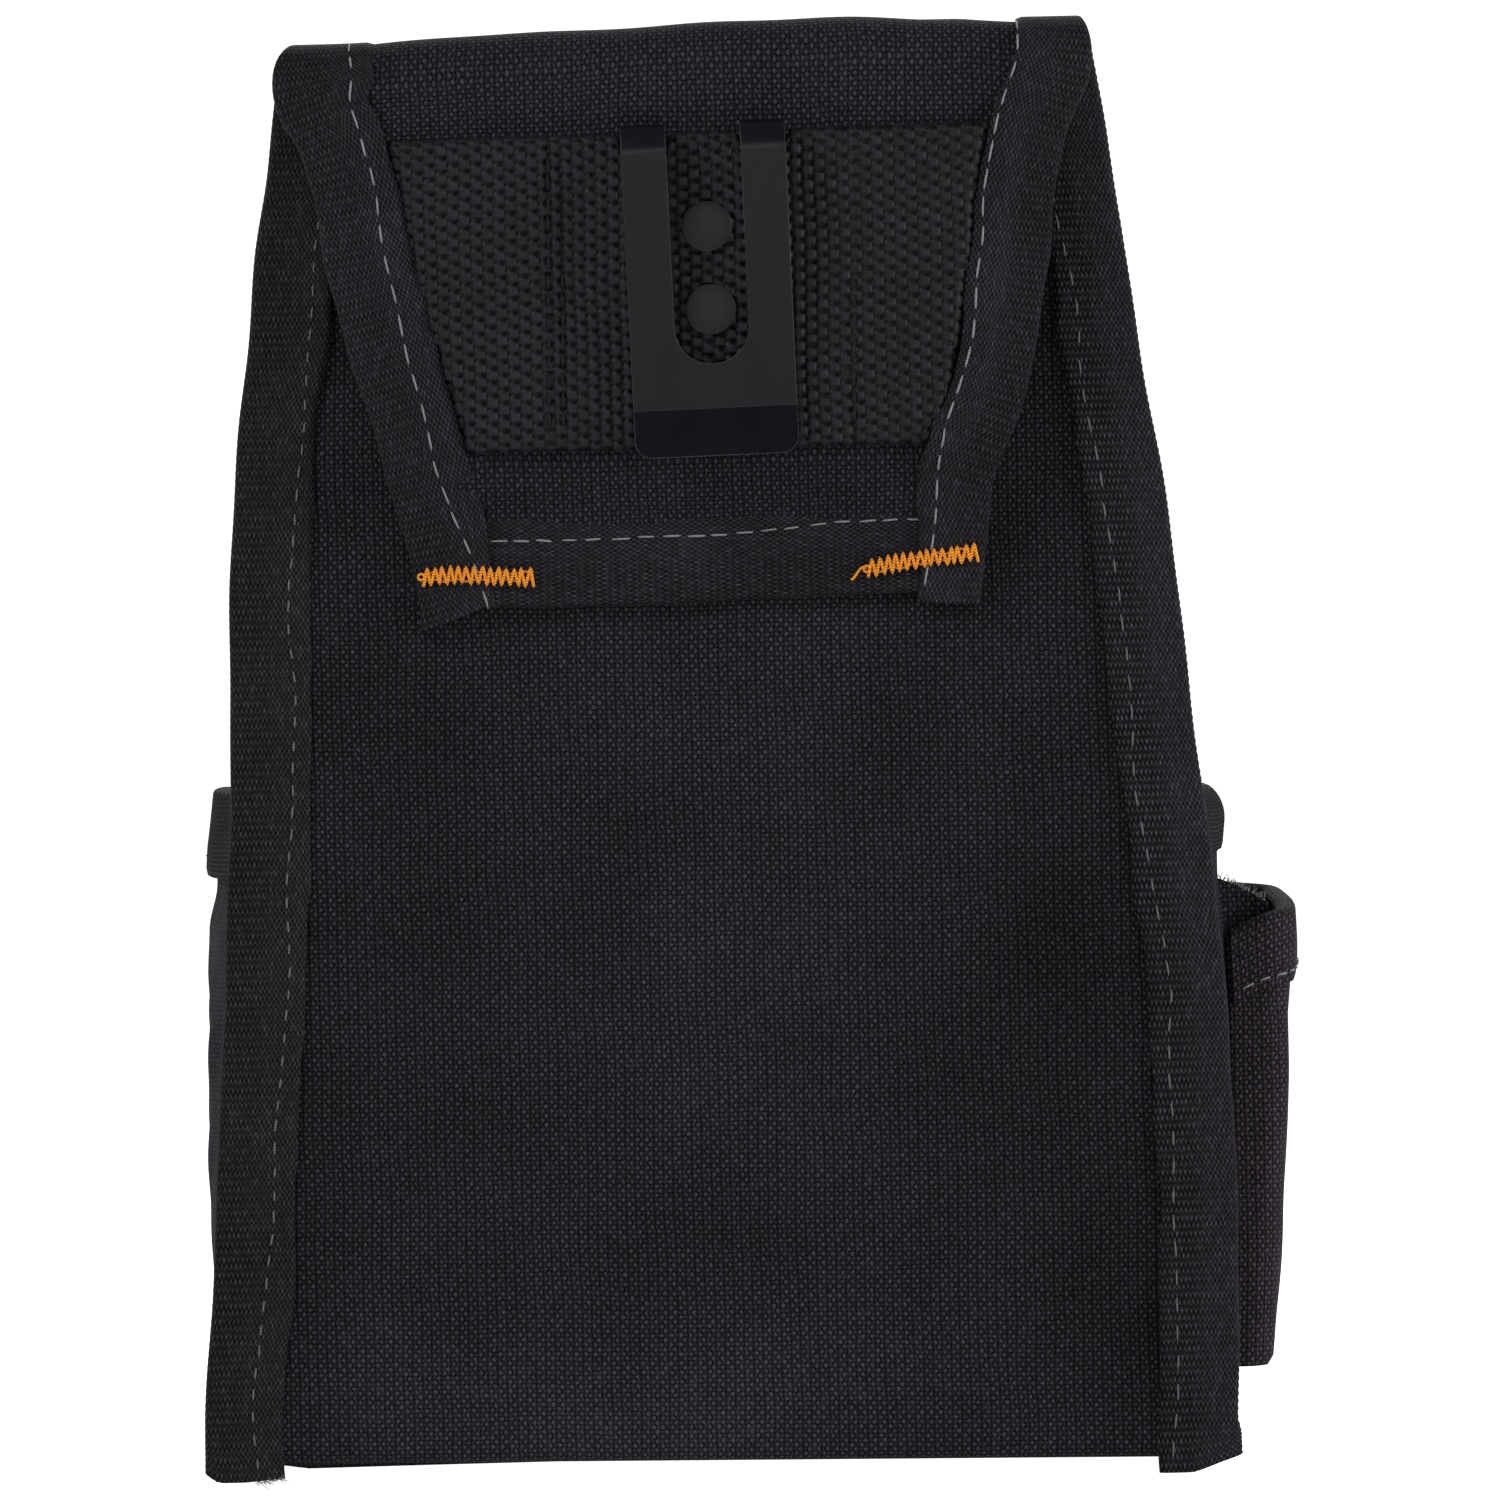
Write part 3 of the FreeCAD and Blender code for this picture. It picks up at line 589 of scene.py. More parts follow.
def ribbed(name, light, rib_at_edge, rib_at_fold):
    """Woven tape: rows of beads on ribs, fading into a fine flat weave where the ribs are pulled smooth.
    The two shares say how ribbed it is at its free edge and at its fold."""
    nodes = Nodes(name)
    u, v = nodes.uv()
    share = nodes.between(u, 4.5 * MM, 9.0 * MM, rib_at_edge, rib_at_fold)
    share = nodes.math("ADD", share, nodes.scaled(nodes.noise(60.0, 2.0, 12), 0.5, -0.25), clamp=True)
    u = nodes.math("DIVIDE", nodes.wobble(u, 80.0, 0.0009, 3), BEAD_PITCH * MM)
    v = nodes.math("DIVIDE", nodes.wobble(v, 70.0, 0.0004, 4), RIB_PITCH * MM)
    wave_u = nodes.wave(u)
    wave_v = nodes.wave(v, shape="COSINE")
    row = nodes.times(nodes.float_height(wave_u, wave_v, 0.5),
                      nodes.math("POWER", nodes.math("ABSOLUTE", wave_v), 2.2))
    flat = nodes.scaled(nodes.float_height(wave_u, nodes.wave(v, 2), 0.5), 0.55, 0.12)
    height = nodes.math("ADD", nodes.times(row, share), nodes.times(flat, nodes.math("SUBTRACT", 1.0, share)))
    chance = nodes.cell_chance(u, nodes.math("ADD", v, 0.5), 9.0)
    lively = nodes.scaled(nodes.math("POWER", chance, 3.0), 0.6, 0.75)
    fibres = nodes.noise(1.0, 3.0, 9, stretch=(4600.0, 4000.0, 1.0))
    patches = nodes.noise(45.0, 4.0, 11)
    shine = nodes.times(nodes.times(height, lively), nodes.scaled(fibres, 1.5, 0.25))
    tone = nodes.times(shine, nodes.scaled(patches, 0.7, 0.6))
    colour = nodes.ramp(tone, [(0.06, YARN_SHADE), (0.95, light)])
    return nodes.finish(colour, nodes.bump(nodes.shaken(height, fibres, 0.6), 0.00015), 0.68, 0.08, 0.02)


def coarse_webbing(name, dark, light):
    """Webbing yarn: fine fibres along each yarn, and painted shade in the gaps between the modelled bumps,
    read from the relief attribute.
    """
    nodes = Nodes(name)
    fibres = nodes.noise(1.0, 4.0, 13, stretch=(5200.0, 1100.0, 1.0))
    patches = nodes.noise(60.0, 3.0, 15)
    tone = nodes.times(nodes.scaled(fibres, 1.3, 0.15), nodes.scaled(patches, 0.7, 0.6))
    # Painted shade: darker where the relief attribute is low, in the gaps and towards the sides.
    tone = nodes.times(tone, nodes.math("POWER", nodes.relief(), 1.5))
    colour = nodes.ramp(tone, [(0.12, dark), (0.9, light)])
    return nodes.finish(colour, nodes.bump(fibres, 0.00008), 0.5, 0.2, 0.02)


def thread(name, dark, light, specular=0.35):
    """Twisted sewing thread."""
    nodes = Nodes(name)
    u, v = nodes.uv()
    slant = nodes.math("ADD", nodes.times(v, 2 * math.pi / (0.42 * MM)),
                       nodes.times(u, 2 * math.pi / (0.66 * MM)))
    twist = nodes.scaled(nodes.math("SINE", slant), 0.5, 0.5)
    tone = nodes.math("ADD", nodes.times(twist, 0.65), nodes.times(nodes.noise(2400.0, 2.0, 17), 0.35))
    colour = nodes.ramp(tone, [(0.1, dark), (0.85, light)])
    return nodes.finish(colour, nodes.bump(twist, 0.00006), 0.5, specular, 0.1)


def painted_steel(name, dark, light, edge, roughness, specular, highlight_width=EDGE_HIGHLIGHT_WIDTH):
    """Satin black coating with a fine orange-peel grain, its edges rounded in the shading and given a pale
    painted highlight in patches.
    """
    nodes = Nodes(name)
    grain = nodes.noise(1900.0, 3.0, 19)
    cloud = nodes.noise(110.0, 4.0, 21)
    rounded = nodes.add("ShaderNodeBevel", samples=6)
    rounded.inputs["Radius"].default_value = highlight_width * MM
    alike = nodes.add("ShaderNodeVectorMath", operation="DOT_PRODUCT")
    nodes.link(rounded.outputs[0], alike.inputs[0])
    nodes.link(nodes.add("ShaderNodeNewGeometry").outputs["Normal"], alike.inputs[1])
    # Painted highlight: the edge colour is mixed in, in patches, where the rounded normal turns away from the
    # face's own.
    highlight_mask = nodes.between(alike.outputs["Value"], 0.99, 0.90, 0.0, 1.0)
    colour = nodes.add("ShaderNodeMix", data_type="RGBA")
    painted_light = nodes.math("MULTIPLY", highlight_mask, nodes.scaled(cloud, 2.4, -0.5), clamp=True)
    nodes.link(painted_light, colour.inputs["Factor"])
    nodes.link(nodes.ramp(cloud, [(0.3, dark), (0.75, light)]), colour.inputs["A"])
    colour.inputs["B"].default_value = (*edge, 1)
    gloss = nodes.scaled(cloud, 0.14, roughness - 0.07)
    normal = nodes.bump(grain, 0.000012, under=rounded.outputs[0])
    return nodes.finish(colour.outputs["Result"], normal, gloss, specular)


YARN_SHADE = (0.0006, 0.0006, 0.0008)
FABRIC_LOOK = woven("pouch_fabric_weave", YARN_SHADE, (0.050, 0.0475, 0.0605), specular=0.05)
# The back's cloth: paler and darker in places by painted light and shade from its relief attribute.
BACK_LOOK = woven("back_fabric_weave", YARN_SHADE, (0.056, 0.0525, 0.066), specular=0.05, painted_light=True)
LINING_LOOK = woven("lining_weave", (0.001, 0.001, 0.0013), (0.04, 0.039, 0.047), pitch=0.45, relief=0.00008)
TAPE_LOOK = ribbed("binding_tape_ribs", (0.070, 0.066, 0.082), 0.6, 0.15)
PLAIN_TAPE_LOOK = ribbed("binding_tape_plain", (0.062, 0.057, 0.063), 0.15, 0.42)
SMOOTH_TAPE_LOOK = ribbed("binding_tape_smooth", (0.058, 0.055, 0.069), 0.05, 0.38)
WEBBING_LOOK = coarse_webbing("webbing_yarn", (0.0004, 0.0004, 0.0006), (0.0150, 0.0141, 0.0212))
GREY_LOOK = thread("grey_thread_twist", (0.10, 0.104, 0.113), (0.29, 0.30, 0.315))
DULL_LOOK = thread("dull_thread_twist", (0.045, 0.046, 0.049), (0.17, 0.174, 0.182), specular=0.2)
DARK_LOOK = thread("dark_thread_twist", (0.0022, 0.0022, 0.003), (0.012, 0.012, 0.015), specular=0.15)
ORANGE_LOOK = thread("orange_thread_twist", (0.42, 0.06, 0.001), (1.0, 0.42, 0.015), specular=0.3)
FRAY_LOOK = thread("frayed_yarn", (0.16, 0.15, 0.155), (0.5, 0.48, 0.49), specular=0.2)
# The third colour of each steel look is its painted edge highlight.
STEEL_LOOK = painted_steel("clip_satin_black", (0.0022, 0.0019, 0.0040), (0.0034, 0.0030, 0.0058),
                           (0.055, 0.052, 0.058), 0.33, 0.20)
RIVET_LOOK = painted_steel("rivet_satin_black", (0.0028, 0.0024, 0.0055), (0.0050, 0.0045, 0.0085),
                           (0.050, 0.048, 0.053), 0.42, 0.24, 2.2 * EDGE_HIGHLIGHT_WIDTH)
# A lit copy of the pouch cloth, paler and warmer: painted light from the right on the side pocket.
LIT_POCKET_LOOK = woven("pocket_fabric_painted_light", (0.0012, 0.0008, 0.0012), (0.074, 0.062, 0.078), specular=0.05)
BOARD_LOOK = woven("board_felt", (0.01, 0.01, 0.01), (0.05, 0.05, 0.05))


# ---------------------------------------------------------------- back

def edge_point(side, z, inset):
    """Where the pouch's side edge is, moved inwards."""
    return side * (half_width(z) - inset) + sway(z)


def panel_swell(x, z):
    """How far the back fabric stands out; nothing under the tapes and the flap's hem."""
    reach = half_width(z) - np.abs(x - sway(z))
    free = smoothstep(10, 26, reach)
    under_flap = 1 - 0.9 * hill(150, 9, z) * smoothstep(56, 48, np.abs(x))
    soft = 0.55 + 0.45 * ripple(x, z, 62, 21) + 0.16 * ripple(x, z, 21, 22)
    right_x, right_z = x - 49, z - 128
    left_x, left_z = x + 52, z - 126
    pulls = 0.9 * hill(0, 3.2, right_x * 0.82 + right_z * 0.57) * hill(0, 16, right_x * 0.57 - right_z * 0.82)
    crease = hill(0, 3.0, left_x * 0.86 - left_z * 0.5)
    pulls = pulls + 0.8 * crease * hill(0, 15, left_x * 0.5 + left_z * 0.86)
    return np.maximum(soft + pulls, 0) * free * under_flap


def round_corners(x, share, z):
    """Rounds off the back's two top corners."""
    past = np.maximum(z - (PANEL_TOP - PANEL_CORNER), 0)
    cut = PANEL_CORNER - np.sqrt(np.maximum(PANEL_CORNER ** 2 - past ** 2, 0))
    return x - np.sign(share) * np.abs(share) ** 8 * cut


def back_painted_light(x, z):
    """Painted light and shade on the back's cloth: palest down its middle and along its foot, darkest low down
    at the right.
    """
    middle = hill(-6, 46, x) * (0.75 + 0.25 * ripple(x, z, 90, 25))
    foot = 0.26 * smoothstep(38, 6, z) * smoothstep(75, 50, np.abs(x))
    shade = 0.13 * hill(62, 26, x) * smoothstep(150, 90, z)
    return 0.78 + 0.22 * middle + foot - shade + 0.06 * ripple(x, z, 30, 27)


def make_back():
    rows = np.concatenate([np.linspace(-FOLD_RADIUS_LOW * 0.57, FOLD_RADIUS_LOW, 8)[:-1],
                           np.linspace(FOLD_RADIUS_LOW, PANEL_TOP, 150)])
    columns = np.linspace(-1, 1, 113)
    rise, share = np.meshgrid(rows, columns, indexing="ij")
    z = np.maximum(rise, FOLD_RADIUS_LOW)
    x = share * (half_width(z) - TAPE) + sway(z)
    x = round_corners(x, share, z)
    turn = np.clip((FOLD_RADIUS_LOW - rise) / FOLD_RADIUS_LOW, 0, None)
    foot = fold_height(x)
    y = BACK_OUTER_Y - panel_swell(x, z) * smoothstep(4, 14, z) + FOLD_RADIUS_LOW * (1 - np.cos(turn))
    straight = rise * (1 - foot / (BACK_TOP + 5))
    height = foot + np.where(rise > FOLD_RADIUS_LOW, straight, FOLD_RADIUS_LOW * (1 - np.sin(turn)))
    outer = np.stack([x, y, height], axis=2)
    inward = np.stack([0 * x, np.cos(turn), np.sin(turn)], axis=2)
    inner = outer + inward * FABRIC
    inner[..., 1] = np.minimum(np.maximum(inner[..., 1], BACK_OUTER_Y + 0.6), BACK_OUTER_Y + FABRIC + 3)
    # The back's relief attribute holds its painted light and shade.
    panel = shell("back_panel_fabric", outer, inner, x, rise, BACK_LOOK, "pouch_fabric", ["back_panel"],
                  relief=back_painted_light(x, z))
    make_lining()


def make_lining():
    rows = np.linspace(4.2, PANEL_TOP, 90)
    columns = np.linspace(-1, 1, 61)
    z, share = np.meshgrid(rows, columns, indexing="ij")
    x = share * (half_width(z) - TAPE - 0.3) + sway(z)
    x = round_corners(x, share, z)
    puff = 0.35 * (1 + ripple(x, z, 38, 31)) * smoothstep(12, 22, half_width(z) - np.abs(x))
    puff = puff * (1 - smoothstep(206, 216, z))
    outer = np.stack([x, BACK_INNER_Y + puff, z], axis=2)
    inner = np.stack([x, 0 * x + BACK_INNER_Y - 0.75, z], axis=2)
    lining = shell("back_lining_fabric", outer, inner, x, z, LINING_LOOK, "lining", ["back_lining"])


def back_tape_path(side, foot):
    z = np.linspace(foot, BACK_TAPE_TOP, rows_for(BACK_TAPE_TOP - foot))
    wave = 0.35 * ripple(z, 0 * z, 26, 41 + side)
    x = edge_point(side, z, TAPE) + side * wave
    splay = 0.5 * smoothstep(7, 0, z)
    return np.stack([x, BACK_OUTER_Y - 0.02 - splay, z], axis=1)


def back_tape(side):
    word = SIDE_WORD[side]
    path = back_tape_path(side, BACK_TAPE_FOOT[side])
    z = path[:, 2]
    across = facing(path, 0, -side)
    out = facing(path, 1, -1)
    widths = BACK_TAPE_WIDTH + 0.4 * ripple(z, 0 * z, 24, 51 + side) + 0.07 * ripple(z, 0 * z, 7, 53 + side)
    inner = 0.3 + (BACK_TAPE_WIDTH - 0.5) * smoothstep(RIM + 1, RIM + 3, z) * smoothstep(216, 214, z)
    lift = sum(height * hill(at, width, z) for at, width, height in BACK_TAPE_LIFT[side])
    lift = lift + 0.25 * np.abs(ripple(z, 0 * z, 9, 61 + side))
    lift = lift * smoothstep(3, 9, z) * smoothstep(222, 208, z)
    look, rib = (PLAIN_TAPE_LOOK, 0.3) if side < 0 else (TAPE_LOOK, 0.8)
    tape = channel("back_tape_" + word, path, across, out, widths, 3.0, look,
                   ["back_binding_" + word], inner=inner, lift=lift, rib=rib)
    shape_tail(tape, side)
    seam = 9.3 + 0.5 * ripple(z, 0 * z, 30, 71 + side) - 2.2 * smoothstep(60, 10, z) * (side < 0)
    line = offset(path, across, out, seam, TAPE + lift * (seam / widths) ** 4)
    stitches("back_stitches_" + word, line[2::3], out[2::3], seed=3 + side, material=DULL_LOOK,
             **BACK_STITCH[side])


def shape_tail(tape, side):
    """The tape's free end below the fold: cut askew, its outer corner rounded off."""
    points = read_points(tape)
    z = points[:, 2]
    reach = side * (points[:, 0] - edge_point(side, 0 * z, BACK_TAPE_WIDTH)) / BACK_TAPE_WIDTH
    low = BACK_TAPE_FOOT[side]
    if side < 0:
        cut = 1.9 * smoothstep(0.76, 1.06, reach) + 0.5 * smoothstep(0.5, -0.05, reach)
    else:
        cut = 3.0 * np.clip((reach - 0.34) / 0.66, 0, 1.05) ** 1.2
    z += cut * smoothstep(low + 8, low, z)
    if side > 0:
        points[:, 0] += 0.6 * smoothstep(9, 6, z) * smoothstep(0.7, 0.95, reach)
    write_points(tape, points)


# ---------------------------------------------------------------- flap

def flap_profile():
    """The flap's tunnel face in the YZ plane, from the lap inside, over the fold, down to the hem."""
    centre_y = (PLANE_TOP[1] + BACK_INNER_Y) / 2
    pitch = (PLANE_TOP[1] - PLANE_LOW[1]) / (PLANE_TOP[0] - PLANE_LOW[0])
    lap = [(BACK_INNER_Y, FLAP_FOLD_Z - FLAP_LAP), (BACK_INNER_Y, FLAP_FOLD_Z)]
    turn = np.linspace(0, math.pi, 33)[1:-1]
    fold = [(centre_y + TUNNEL_RADIUS * math.cos(a), FLAP_FOLD_Z + TUNNEL_RADIUS * math.sin(a)) for a in turn]
    heights = np.linspace(FLAP_FOLD_Z, PLANE_LOW[0], 30)
    plane = [(PLANE_LOW[1] + (z - PLANE_LOW[0]) * pitch, z) for z in heights]
    heights = np.linspace(PLANE_LOW[0], FLAP_HEM, 24)[1:]
    foot_y = BACK_OUTER_Y - TAPE - 0.05
    knots = [FLAP_HEM, TACK_TOP, 158, PLANE_LOW[0]]
    foot = [(spline(knots, [foot_y, foot_y - 0.05, -37.3, PLANE_LOW[1]], z), z) for z in heights]
    return np.array(lap + fold + plane + foot, float)


PROFILE = flap_profile()


def flap_line(count, end=None):
    """Even steps along the flap's profile, with outward normals; end cuts it off at a height."""
    points = PROFILE
    if end is not None:
        tail = np.array([[points[-1, 0], end]])
        points = np.concatenate([points, tail]) if end < points[-1, 1] else points[points[:, 1] >= end]
    points = resample(points, count)
    along = tangents(points)
    out = np.stack([along[:, 1], -along[:, 0]], axis=1)
    return points, out


def flap_edge(side, z, arc):
    """The flap's left or right outline; the lap inside keeps the width of the fold."""
    knots, values = FLAP_LEFT if side < 0 else FLAP_RIGHT
    height = np.where(arc, FLAP_FOLD_Z + TUNNEL_RADIUS, z)
    return spline(knots, values, height)


def flap_corner(side, yz):
    """How far the crushed corner at the fold's top is pulled in, along the flap's profile."""
    run = lengths(yz)
    return FLAP_CORNER_PULL[side] * hill(run[np.argmax(yz[:, 1])], 4.3, run)


def flap_drop(x, z):
    """The fold sags a little towards the left corner, and stands a little proud right of its middle."""
    proud = 0.9 * smoothstep(-34, 10, x) * smoothstep(54, 42, x)
    return (1.9 * smoothstep(-8, -66, x) - proud) * smoothstep(212, 230, z)


def flap_swell(x, z):
    """Soft waves in the flap's cloth, none on the flat that the webbing and the clip sit on."""
    flat = smoothstep(WEBBING_LOW - 3, WEBBING_LOW + 3, z) * smoothstep(WEBBING_HIGH + 4, WEBBING_HIGH, z)
    waves = 0.35 + 0.4 * ripple(x, z, 34, 81)
    pulls = 0.8 * hill(161, 3.2, z + 0.09 * x) + 0.3 * ripple(x * 0.5, z, 12, 83)
    lower = smoothstep(171, 162, z) * smoothstep(153, 160, z)
    return (1 - flat) * (waves * smoothstep(216, 222, z) + pulls * lower)


def make_flap():
    yz, out = flap_line(190)
    inside = np.arange(len(yz)) < np.argmax(yz[:, 1])
    left = flap_edge(-1, yz[:, 1], inside) + TAPE + flap_corner(-1, yz)
    right = flap_edge(1, yz[:, 1], inside) - TAPE - flap_corner(1, yz)
    share = np.linspace(0, 1, 90)
    x = left[:, None] + (right - left)[:, None] * share[None, :]
    z = np.broadcast_to(yz[:, 1:2], x.shape)
    swell = flap_swell(x, z) * smoothstep(0, 0.12, share) * smoothstep(1, 0.88, share) * (~inside)[:, None]
    skin = FLAP + swell
    low = HEM_SLOPE * x * smoothstep(170, FLAP_HEM, z) - flap_drop(x, z)
    base = np.stack([x, np.broadcast_to(yz[:, 0:1], x.shape), z + low], axis=2)
    away = np.stack([0 * x, 0 * x + out[:, 0:1], 0 * x + out[:, 1:2]], axis=2)
    outer = base + away * skin[..., None]
    inner = base + away * (0.5 * swell)[..., None]
    flap = shell("belt_flap_fabric", outer, inner, x, lengths(yz)[:, None], FABRIC_LOOK, "pouch_fabric",
                 ["belt_flap"])
    tapes = [flap_side_tape(-1), flap_side_tape(1), flap_hem_tape()]


def flap_side_path(side, end):
    """The flap's side fold: its path, the ways across and out of the cloth, the top corner's pull, and which
    points are inside the tunnel."""
    long = float(lengths(PROFILE)[-1]) + 8
    yz, out2 = flap_line(rows_for(long), end)
    inside = np.arange(len(yz)) < np.argmax(yz[:, 1])
    corner = flap_corner(side, yz)
    x = soften(flap_edge(side, yz[:, 1], inside), 4)
    wave = 0.3 * soften(ripple(yz[:, 1], 0 * x, 22, 91 + side) * ~inside, 4)
    path = np.stack([x - side * (TAPE + corner) + wave, yz[:, 0], yz[:, 1] - flap_drop(x, yz[:, 1])], axis=1)
    out = np.stack([0 * x, out2[:, 0], out2[:, 1]], axis=1)
    calm = np.stack([soften(x, 28), path[:, 1], path[:, 2]], axis=1)
    across = unit(np.cross(tangents(calm), out))
    across = across * -np.sign(np.mean(across[:, 0]) * side)
    return path, across, out, corner, inside


def flap_side_tape(side):
    word = SIDE_WORD[side]
    path, across, out, corner, inside = flap_side_path(side, FLAP_TAPE_END[side])
    z = path[:, 2]
    widths = FLAP_TAPE_WIDTH[side] + 0.5 * ripple(z, 0 * z, 19, 101 + side)
    widths = widths + 0.15 * ripple(z, 0 * z, 5, 103 + side)
    widths = widths - 1.6 * smoothstep(160, 144, z) * ~inside - corner
    widths = widths + 2.2 * smoothstep(218, 224, z) * (side < 0)
    lift = (0.35 * np.abs(ripple(z, 0 * z, 12, 111 + side)) + 0.5 * hill(150, 5, z)) * ~inside
    if side > 0:
        lift = lift + 1.5 * hill(164, 4, z) * ~inside
    stacked = 0.55 * smoothstep(161, 157, z) * ~inside
    seated = path + out * FLAP + out * stacked[:, None]
    ride = (PRESSED_WEBBING + 0.1) * smoothstep(WEBBING_LOW - 2, WEBBING_LOW, z) * ~inside
    ride = ride * smoothstep(WEBBING_HIGH + 2, WEBBING_HIGH + 0.6, z)
    tape = channel("flap_tape_" + word, seated, across, out, widths, FLAP + 0.05, SMOOTH_TAPE_LOOK,
                   ["flap_binding_" + word], lift=lift, ride=ride, rib=0.2)
    if side < 0:
        skew_tail(tape)
    seam = spline(*FLAP_SEAM[side], z) + 0.15 * ripple(z, 0 * z, 30, 121 + side) - corner
    rise = TAPE + lift * (seam / widths) ** 4 + ride * smoothstep(0.42, 0.68, seam / widths)
    line = offset(seated, across, out, seam, rise)
    shown = ~inside & (z < 233.5)
    stitches("flap_stitches_" + word, line[shown][::3], out[shown][::3], 4.75, 3.35, seed=11 + side)
    return tape


def skew_tail(tape):
    """The left flap tape's end is cut askew: its inner corner is higher than its outer one."""
    points = read_points(tape)
    x, _, z = points.T
    share = np.clip((x + 44.5) / 9.0, 0, 1)
    points[:, 2] += 3.0 * share * smoothstep(149, 139, z)
    points[:, 0] -= 0.8 * (1 - share) * smoothstep(143, 138.5, z)
    write_points(tape, points)


def flap_hem_tape():
    left, right = -46.5, 45.5
    x = np.linspace(left + 2.2, right - 1.5, rows_for(right - left))
    z = FLAP_HEM + HEM_SLOPE * x + 0.25 * ripple(x, 0 * x, 40, 131)
    y = PROFILE[-1, 0] - FLAP + 0 * x
    path = np.stack([x, y, z], axis=1)
    across = facing(path, 2, 1)
    out = facing(path, 1, -1)
    widths = HEM_TAPE_WIDTH + 0.4 * ripple(x, 0 * x, 26, 133)
    lift = 1.35 + 0.4 * ripple(x, 0 * x, 18, 135)
    tape = channel("flap_hem_tape", path, across, out, widths, FLAP + 0.05, SMOOTH_TAPE_LOOK,
                   ["flap_hem_binding"], lift=lift, rib=0.3)
    seam = 9.9 + 1.1 * smoothstep(0, 36, x) + 0.3 * ripple(x, 0 * x, 25, 137)
    line = offset(path, across, out, seam, TAPE + lift * (seam / widths) ** 4)
    shown = (x > -36) & (x < 37)
    stitches("flap_stitches_hem", line[shown][::3], out[shown][::3], 4.0, 2.9, seed=17)
    return tape


def webbing_height(x, z):
    """Staggered flat crowns of a coarse webbing, near 1, with shallow grooves between them and a deep gap at
    each crown's lower right; no two crowns are quite alike. The crowns sink a little towards both sides, which
    the material shows as painted shade."""
    column = x / WEBBING_COLUMN
    index = np.round(column)
    across = 2 * (column - index)
    place = z / WEBBING_BUMP + 0.5 * np.mod(index, 2) + 0.10 * across
    cell = np.round(place)
    along = 2 * (place - cell)
    crown = (1 - 0.5 * np.abs(across) ** 4) * (1 - 0.5 * np.abs(along) ** 5)
    gap = hill(0.66, 0.62, across) * (hill(-0.97, 0.27, along) + hill(1.03, 0.17, along))
    nick = 0.5 * hill(-0.9, 0.4, across) * hill(0.9, 0.35, along)
    chance = np.modf(np.abs(np.sin(index * 12.9898 + cell * 78.233)) * 437.5453)[0]
    # Painted shade towards both sides: lower crowns, which the material reads as darker colour.
    painted_side_shade = 0.07 * smoothstep(8, 20, -x) + 0.14 * smoothstep(8, 20, x)
    return np.clip(crown * (0.80 + 0.2 * chance - painted_side_shade) - 0.8 * gap - 0.8 * nick, 0, 1)


def webbing_seam_x(at, z):
    """The sideways place of one of the webbing's own seams, which lean a little."""
    return at + 0.018 * (z - 190)


